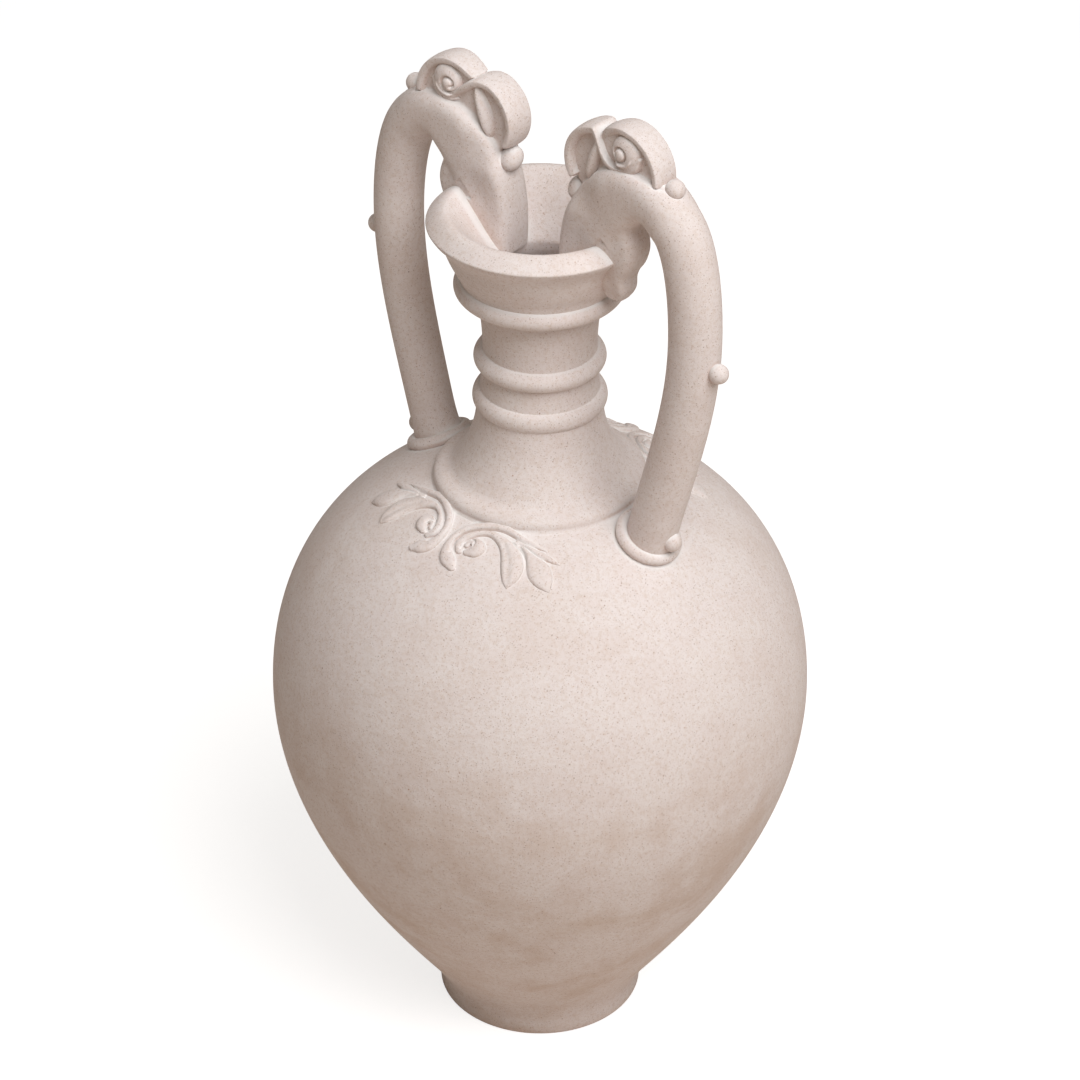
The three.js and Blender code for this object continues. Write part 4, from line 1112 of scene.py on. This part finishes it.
def make_clay(settings):
    """Matte speckled clay: cream with a pink cast, beige clouds that grow stronger towards the
    foot, fine rusty specks, dust in its creases, painted shade in its hollows and under its edges, and a dry
    uneven skin with turning marks."""
    recipe = Recipe("matte_clay_skin")
    place = recipe.place()
    clouds = recipe.noise(recipe.stretched(place, (1.0, 1.0, 1.9)), 10.0, 6.0, 0.64, 0.6)
    patches = recipe.noise(place, 46.0, 4.0, 0.62)
    grain = recipe.noise(place, 520.0, 4.0, 0.72)
    base = recipe.mix(recipe.step(patches, 0.32, 0.70), colour(settings.clay), colour(settings.rose))
    cloudy = recipe.step(clouds * 0.65 + patches * 0.35, 0.45, 0.63)
    lower = 1 - recipe.step(recipe.upward(place), CLOUD_FULL, CLOUD_TOP)
    base = recipe.mix(cloudy * (0.3 + lower * 0.7) * settings.stain_amount, base, colour(settings.stain))
    base = recipe.mix(recipe.step(grain, 0.42, 0.72) * 0.4, base, colour(settings.stain))
    base = specked(recipe, place, base, settings)
    # Pale dust in creases that face up, and painted shade in hollows and under edges
    base = dust_and_painted_shade(recipe, place, base, patches, settings)

    lumps = recipe.noise(place, 85.0, 3.0, 0.5)
    turning = recipe.noise(recipe.stretched(place, (4.0, 4.0, 260.0)), 1.0, 3.0, 0.6)
    skin = recipe.noise(place, 1300.0, 3.0, 0.65)
    pits = recipe.step(Signal(recipe, recipe.cells(place, 420.0)), 0.06, 0.22)
    height = lumps * 0.0008 + turning * 0.00013 + grain * 0.00014 + skin * 0.00006 + pits * 0.00007
    bump = recipe.node("ShaderNodeBump", {}, {"Strength": 0.6, "Distance": 1.0, "Height": height})
    return recipe.finish(base, 0.80 + grain * 0.14, bump.outputs[0])


def clay():
    """The one clay finish, made when it is first asked for."""
    found = bpy.data.materials.get("matte_clay_skin")
    return found or make_clay(bpy.context.scene.amphora_clay)


HANDS = {1: "right", -1: "left"}


def add_piece(name, surface, nodes, hand=1):
    """New clay piece from points in millimetres and faces, standing for nodes of the frame.

    The hand is -1 for a piece of the left handle, which is turned half round.
    """
    points, faces = surface
    points = np.asarray(points, float) * (hand, hand, 1)
    mesh = bpy.data.meshes.new(name)
    mesh.vertices.add(len(points))
    mesh.vertices.foreach_set("co", (points * MM).astype(np.float32).ravel())
    loops = np.concatenate([block.ravel() for block in faces])
    sizes = np.concatenate([np.full(len(block), block.shape[1]) for block in faces])
    mesh.loops.add(len(loops))
    mesh.loops.foreach_set("vertex_index", loops.astype(np.int32))
    mesh.polygons.add(len(sizes))
    mesh.polygons.foreach_set("loop_start", (np.cumsum(sizes) - sizes).astype(np.int32))
    mesh.polygons.foreach_set("use_smooth", np.ones(len(sizes), bool))
    mesh.update(calc_edges=True)
    mesh.validate()
    mesh.materials.append(clay())
    piece = bpy.data.objects.new(name, mesh)
    bpy.context.scene.collection.objects.link(piece)
    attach(piece, "root")
    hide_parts(*nodes)


def add_head_piece(name, surface, nodes, hand):
    """Piece of a head, moved out by the head's shift and with its snout drawn to the back.

    The snout leans by its lean times a smooth step over u and another over z.
    """
    points = np.array(surface[0], float)
    inward = (SNOUT_LEAN_OUT - points[:, 0]) / SNOUT_LEAN_RUN
    upward = (points[:, 2] - SNOUT_LEAN_UP) / SNOUT_LEAN_RISE
    ease = [3 * t**2 - 2 * t**3 for t in (np.clip(share, 0, 1) for share in (inward, upward))]
    points[:, 1] += hand * SNOUT_LEAN * ease[0] * ease[1]
    points[:, 0] += hand * HEAD_SHIFT
    label = HANDS[hand]
    add_piece(f"{label}_{name}", (points, surface[1]), [f"{label}_{node}" for node in nodes], hand)


# Keywords that like properties share
COLOUR = {"subtype": "COLOR", "size": 3, "min": 0, "max": 1}
SHARE = {"subtype": "FACTOR", "min": 0, "max": 1}


class ClaySettings(PropertyGroup):
    """Colours and amounts of the clay."""

    clay: FloatVectorProperty(
        name="Clay", description="Main colour of the clay", default=(0.795, 0.733, 0.718), **COLOUR)
    rose: FloatVectorProperty(
        name="Rose", description="Pinker colour of clouds", default=(0.775, 0.703, 0.690), **COLOUR)
    stain: FloatVectorProperty(
        name="Stain", description="Beige colour of clouds and grain", default=(0.600, 0.465, 0.370), **COLOUR)
    speck: FloatVectorProperty(
        name="Speck", description="Darkest colour of the specks", default=(0.200, 0.125, 0.090), **COLOUR)
    rust: FloatVectorProperty(
        name="Rust", description="Orange colour of other specks", default=(0.430, 0.215, 0.115), **COLOUR)
    dust: FloatVectorProperty(
        name="Dust", description="Pale dust in the hollows", default=(0.830, 0.815, 0.810), **COLOUR)
    # Colour of the painted shade in hollows and under edges
    painted_shade: FloatVectorProperty(
        name="Warm tint", description="Tint under edges", default=(0.500, 0.295, 0.190), **COLOUR)
    stain_amount: FloatProperty(
        name="Stain amount", description="How strong the beige clouds are", default=0.5, **SHARE)
    speck_amount: FloatProperty(
        name="Speck amount", description="How strong the specks are", default=0.9, **SHARE)
    dust_amount: FloatProperty(
        name="Dust amount", description="How thick the dust lies", default=0.85, **SHARE)
    # Strength of the painted shade in hollows and under edges
    painted_shade_amount: FloatProperty(
        name="Warm amount", description="How strong the warm tint is", default=0.22, **SHARE)


class HandleSettings(PropertyGroup):
    """Sizes of the handles."""

    stem_radius: FloatProperty(
        name="Stem radius", description="Half thickness of the stems", default=12.2 * MM, unit="LENGTH")
    bead_radius: FloatProperty(
        name="Bead radius", description="Half thickness of the beads", default=4.6 * MM, unit="LENGTH")
    ball_radius: FloatProperty(
        name="Ball radius", description="Half thickness of the ball under the snout", default=5.5 * MM,
        unit="LENGTH")


class StageSettings(PropertyGroup):
    """Camera, lamps and floor."""

    camera_place: FloatVectorProperty(
        name="Camera place", description="Where the camera stands", default=(1.07555, -1.20114, 1.31571),
        size=3, subtype="TRANSLATION", unit="LENGTH")
    aim_height: FloatProperty(
        name="Aim height", description="Height on the axis that the camera looks at", default=0.26239,
        unit="LENGTH")
    lens: FloatProperty(
        name="Lens", description="Focal length for a sensor 36 mm wide", default=135.15, min=1,
        unit="CAMERA")
    key_power: FloatProperty(
        name="Key power", description="Power of the main lamp", default=59.0, min=0, unit="POWER")
    top_power: FloatProperty(
        name="Top power", description="Power of the lamp overhead", default=4.0, min=0, unit="POWER")
    ambient: FloatProperty(
        name="Ambient", description="Strength of the light from all round", default=0.185, min=0, max=1)
    floor_colour: FloatVectorProperty(
        name="Floor", description="Colour of the floor", default=(0.70, 0.61, 0.54), **COLOUR)
    floor_glow: FloatProperty(
        name="Floor glow", description="White added to the floor where the camera sees it", default=0.75,
        **SHARE)


# Stage, in metres: place and size of each lamp, the height that they aim at, the floor's half
# width, and the distances from the axis between which it turns white
KEY_PLACE, KEY_SIZE = (1.42, -0.40, 2.30), 1.7
TOP_PLACE, TOP_SIZE = (-0.25, -0.75, 2.40), 1.6
LAMP_AIM_HEIGHT = 0.26
FLOOR_HALF, FLOOR_FADE_START, FLOOR_FADE_END = 6.0, 0.7, 1.6
# Colours of the light from all round, of the floor that is seen, and of its glow
AMBIENT_COLOUR, SEEN_FLOOR_COLOUR, WHITE = (1, 0.85, 0.70, 1), (0.55, 0.55, 0.55, 1), (1, 1, 1, 1)


class AMPHORA_OT_stage(Operator):
    """Add the camera, the lamps, the white surroundings and the floor"""

    bl_idname = "amphora.stage"
    bl_label = "Stage"

    def execute(self, context):
        scene, settings = context.scene, context.scene.amphora_stage
        scene.view_settings.view_transform = "Standard"
        self.add_camera(scene, settings)
        self.add_lamp(scene, "key_lamp", KEY_PLACE, KEY_SIZE, settings.key_power)
        self.add_lamp(scene, "top_lamp", TOP_PLACE, TOP_SIZE, settings.top_power)
        self.add_world(scene, settings)
        self.add_floor(scene, settings)
        return {"FINISHED"}

    def add_aimed(self, scene, name, data, place, height):
        """Add a camera or a lamp that looks at a height on the axis."""
        item = bpy.data.objects.new(name, data)
        item.location = place
        item.rotation_euler = (Vector((0, 0, height)) - Vector(place)).to_track_quat("-Z", "Y").to_euler()
        scene.collection.objects.link(item)
        return item

    def add_camera(self, scene, settings):
        """Add the camera, a little above the vase and in front of it."""
        data = bpy.data.cameras.new("camera")
        data.lens = settings.lens
        data.sensor_width = 36.0
        scene.camera = self.add_aimed(scene, "camera", data, settings.camera_place, settings.aim_height)

    def add_lamp(self, scene, name, place, size, power):
        """Add a square lamp."""
        data = bpy.data.lights.new(name, "AREA")
        data.size = size
        data.energy = power
        self.add_aimed(scene, name, data, place, LAMP_AIM_HEIGHT)

    def add_world(self, scene, settings):
        """Make the surroundings: soft light tinted towards orange, and plain white where they are seen."""
        world = scene.world or bpy.data.worlds.new("surroundings")
        scene.world = world
        world.use_nodes = True
        recipe = Recipe.of_tree(world.node_tree)
        path = recipe.node("ShaderNodeLightPath", {}, {}).outputs
        seen = Signal(recipe, path["Is Camera Ray"]) + path["Is Glossy Ray"] + path["Is Transmission Ray"]
        soft = recipe.shader("Background", AMBIENT_COLOUR, settings.ambient)
        white = recipe.shader("Background", WHITE, 1.0)
        mix = recipe.node("ShaderNodeMixShader", {}, {0: seen.clipped(), 1: soft, 2: white})
        recipe.node("ShaderNodeOutputWorld", {}, {"Surface": mix.outputs[0]})

    def add_floor(self, scene, settings):
        """Add the floor: plain to the light, and for the camera a pale one that keeps the
        shadow and turns white away from the vase."""
        recipe = Recipe("pale_floor")
        plain = recipe.shader("BsdfDiffuse", colour(settings.floor_colour))
        neutral = recipe.shader("BsdfDiffuse", SEEN_FLOOR_COLOUR)
        glow = recipe.shader("Emission", WHITE, settings.floor_glow)
        pale = recipe.node("ShaderNodeAddShader", {}, {0: neutral, 1: glow}).outputs[0]
        white = recipe.shader("Emission", WHITE, 1.0)
        reach = recipe.node("ShaderNodeVectorMath", {"operation": "LENGTH"}, {0: recipe.place()})
        far = recipe.step(reach.outputs["Value"], FLOOR_FADE_START, FLOOR_FADE_END)
        ground = recipe.node("ShaderNodeMixShader", {}, {0: far, 1: pale, 2: white}).outputs[0]
        seen = recipe.node("ShaderNodeLightPath", {}, {}).outputs["Is Camera Ray"]
        mix = recipe.node("ShaderNodeMixShader", {}, {0: seen, 1: plain, 2: ground})
        recipe.node("ShaderNodeOutputMaterial", {}, {"Surface": mix.outputs[0]})
        corners = [(x * FLOOR_HALF, y * FLOOR_HALF, 0) for x, y in ((-1, -1), (1, -1), (1, 1), (-1, 1))]
        mesh = bpy.data.meshes.new("floor")
        mesh.from_pydata(corners, [], [(0, 1, 2, 3)])
        mesh.materials.append(recipe.material)
        floor = bpy.data.objects.new("floor", mesh)
        scene.collection.objects.link(floor)


class AMPHORA_OT_body(Operator):
    """Add the turned foot and the thrown body"""

    bl_idname = "amphora.body"
    bl_label = "Foot and body"

    def execute(self, context):
        add_piece("turned_foot", foot_surface(), ["foot"])
        add_piece("thrown_body", body_surface(), ["lower_body", "upper_body"])
        return {"FINISHED"}


class AMPHORA_OT_neck(Operator):
    """Add the collar, the neck and its two rings"""

    bl_idname = "amphora.neck"
    bl_label = "Neck and rings"

    def execute(self, context):
        add_piece("soft_collar", collar_surface(), ["shoulder_collar"])
        add_piece("thrown_neck", neck_surface(), ["neck"])
        add_piece("lower_ring", ring_surface(LOWER_RING), ["neck_ring_lower"])
        add_piece("upper_ring", ring_surface(UPPER_RING), ["neck_ring_upper"])
        return {"FINISHED"}


class AMPHORA_OT_mouth(Operator):
    """Add the mouth cup and the roll under it"""

    bl_idname = "amphora.mouth"
    bl_label = "Mouth"

    def execute(self, context):
        add_piece("cup_roll", cup_ring_surface(), ["cup_ring"])
        add_piece("dished_cup", cup_surface(), ["mouth_cup"])
        return {"FINISHED"}


class AMPHORA_OT_stems(Operator):
    """Add the stems with their base rings and beads"""

    bl_idname = "amphora.stems"
    bl_label = "Stems"

    def execute(self, context):
        settings = context.scene.amphora_handles
        stem_radius = settings.stem_radius / MM
        bead_radius = settings.bead_radius / MM
        for hand, label in HANDS.items():
            path, base = stem_path(hand)
            add_piece(f"{label}_bar", stem_surface(path, hand, stem_radius), [f"{label}_stem"], hand)
            add_piece(f"{label}_foot_ring", base_ring_surface(base), [f"{label}_base_ring"], hand)
            outs = -left_of(directions(path))
            places = (
                ("base", base[1] + BASE_BEAD_RISE + hand * BASE_BEAD_STEP, BASE_BEAD_SEAT),
                ("middle", SHOULDER_HEIGHT + MIDDLE_BEAD_RISE, BEAD_SEAT),
            )
            beads = {}
            for name, rise, seat in places:
                k = np.abs(path[:, 1] - rise).argmin()
                beads[name] = path[k] + (stem_radius + seat) * outs[k]
            beads["nape"] = (NAPE_BEAD[0] + hand * NAPE_SHIFT, NAPE_BEAD[1])
            for name, place in beads.items():
                ball = ball_surface(place, bead_radius)
                add_piece(f"{label}_{name}_bead", ball, [f"{label}_bead_{name}"], hand)
        return {"FINISHED"}


class AMPHORA_OT_heads(Operator):
    """Add the heads with both jaws, and the ball under each snout"""

    bl_idname = "amphora.heads"
    bl_label = "Heads"

    def execute(self, context):
        radius = context.scene.amphora_handles.ball_radius / MM
        head = head_surface()
        ball = ball_surface(BALL_PLACE, radius)
        for hand in HANDS:
            add_head_piece("dragon_head", head, ["head", "lower_jaw"], hand)
            add_head_piece("snout_ball", ball, ["chin_ball"], hand)
        return {"FINISHED"}


class AMPHORA_OT_crests(Operator):
    """Add the brow crests, and the snout crests that run on as lids"""

    bl_idname = "amphora.crests"
    bl_label = "Crests"

    def execute(self, context):
        for hand in HANDS:
            add_head_piece("brow_strap", brow_surface(), ["brow_crest"], hand)
            add_head_piece("snout_strap", snout_surface(hand), ["snout_crest"], hand)
        return {"FINISHED"}


class AMPHORA_OT_eyes(Operator):
    """Add the scroll eyes and the leaves before the cheeks"""

    bl_idname = "amphora.eyes"
    bl_label = "Eyes and leaves"

    def execute(self, context):
        for name, side in (("front", -1), ("back", 1)):
            eye, leaf = eye_surface(side), leaf_surface(side)
            for hand in HANDS:
                add_head_piece(f"{name}_scroll", eye, [f"eye_{name}"], hand)
                add_head_piece(f"{name}_sliver", leaf, [f"leaf_{name}"], hand)
        return {"FINISHED"}


class AMPHORA_OT_sprays(Operator):
    """Add the relief sprays on the shoulder"""

    bl_idname = "amphora.sprays"
    bl_label = "Sprays"

    def execute(self, context):
        for name, angle in SPRAY_CENTRES.items():
            turn = math.copysign(1, angle)
            for hand, side in (("left", turn), ("right", -turn)):
                surface = spray_surface(math.radians(angle), side)
                add_piece(f"{name}_{hand}_relief", surface, [f"spray_{name}_{hand}"])
        return {"FINISHED"}


class AMPHORA_PT_panel(Panel):
    """Sizes, colours and pieces of the amphora"""

    bl_label = "Amphora"
    bl_idname = "AMPHORA_PT_panel"
    bl_space_type = "VIEW_3D"
    bl_region_type = "UI"
    bl_category = "Amphora"

    def draw(self, context):
        scene = context.scene
        for settings in (scene.amphora_clay, scene.amphora_handles, scene.amphora_stage):
            column = self.layout.column(align=True)
            for name in settings.__annotations__:
                column.prop(settings, name)
        for operator in OPERATORS:
            self.layout.operator(operator.bl_idname)


OPERATORS = (
    AMPHORA_OT_stage, AMPHORA_OT_body, AMPHORA_OT_neck, AMPHORA_OT_mouth, AMPHORA_OT_stems,
    AMPHORA_OT_heads, AMPHORA_OT_crests, AMPHORA_OT_eyes, AMPHORA_OT_sprays,
)
CLASSES = (ClaySettings, HandleSettings, StageSettings, *OPERATORS, AMPHORA_PT_panel)


def register():
    for item in CLASSES:
        bpy.utils.register_class(item)
    bpy.types.Scene.amphora_clay = PointerProperty(type=ClaySettings)
    bpy.types.Scene.amphora_handles = PointerProperty(type=HandleSettings)
    bpy.types.Scene.amphora_stage = PointerProperty(type=StageSettings)


def unregister():
    del bpy.types.Scene.amphora_stage
    del bpy.types.Scene.amphora_handles
    del bpy.types.Scene.amphora_clay
    for item in reversed(CLASSES):
        bpy.utils.unregister_class(item)


def main():
    """Register the classes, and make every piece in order."""
    register()
    bpy.ops.amphora.stage()
    bpy.ops.amphora.body()
    bpy.ops.amphora.neck()
    bpy.ops.amphora.mouth()
    bpy.ops.amphora.stems()
    bpy.ops.amphora.heads()
    bpy.ops.amphora.crests()
    bpy.ops.amphora.eyes()
    bpy.ops.amphora.sprays()


if __name__ == "__main__":
    main()
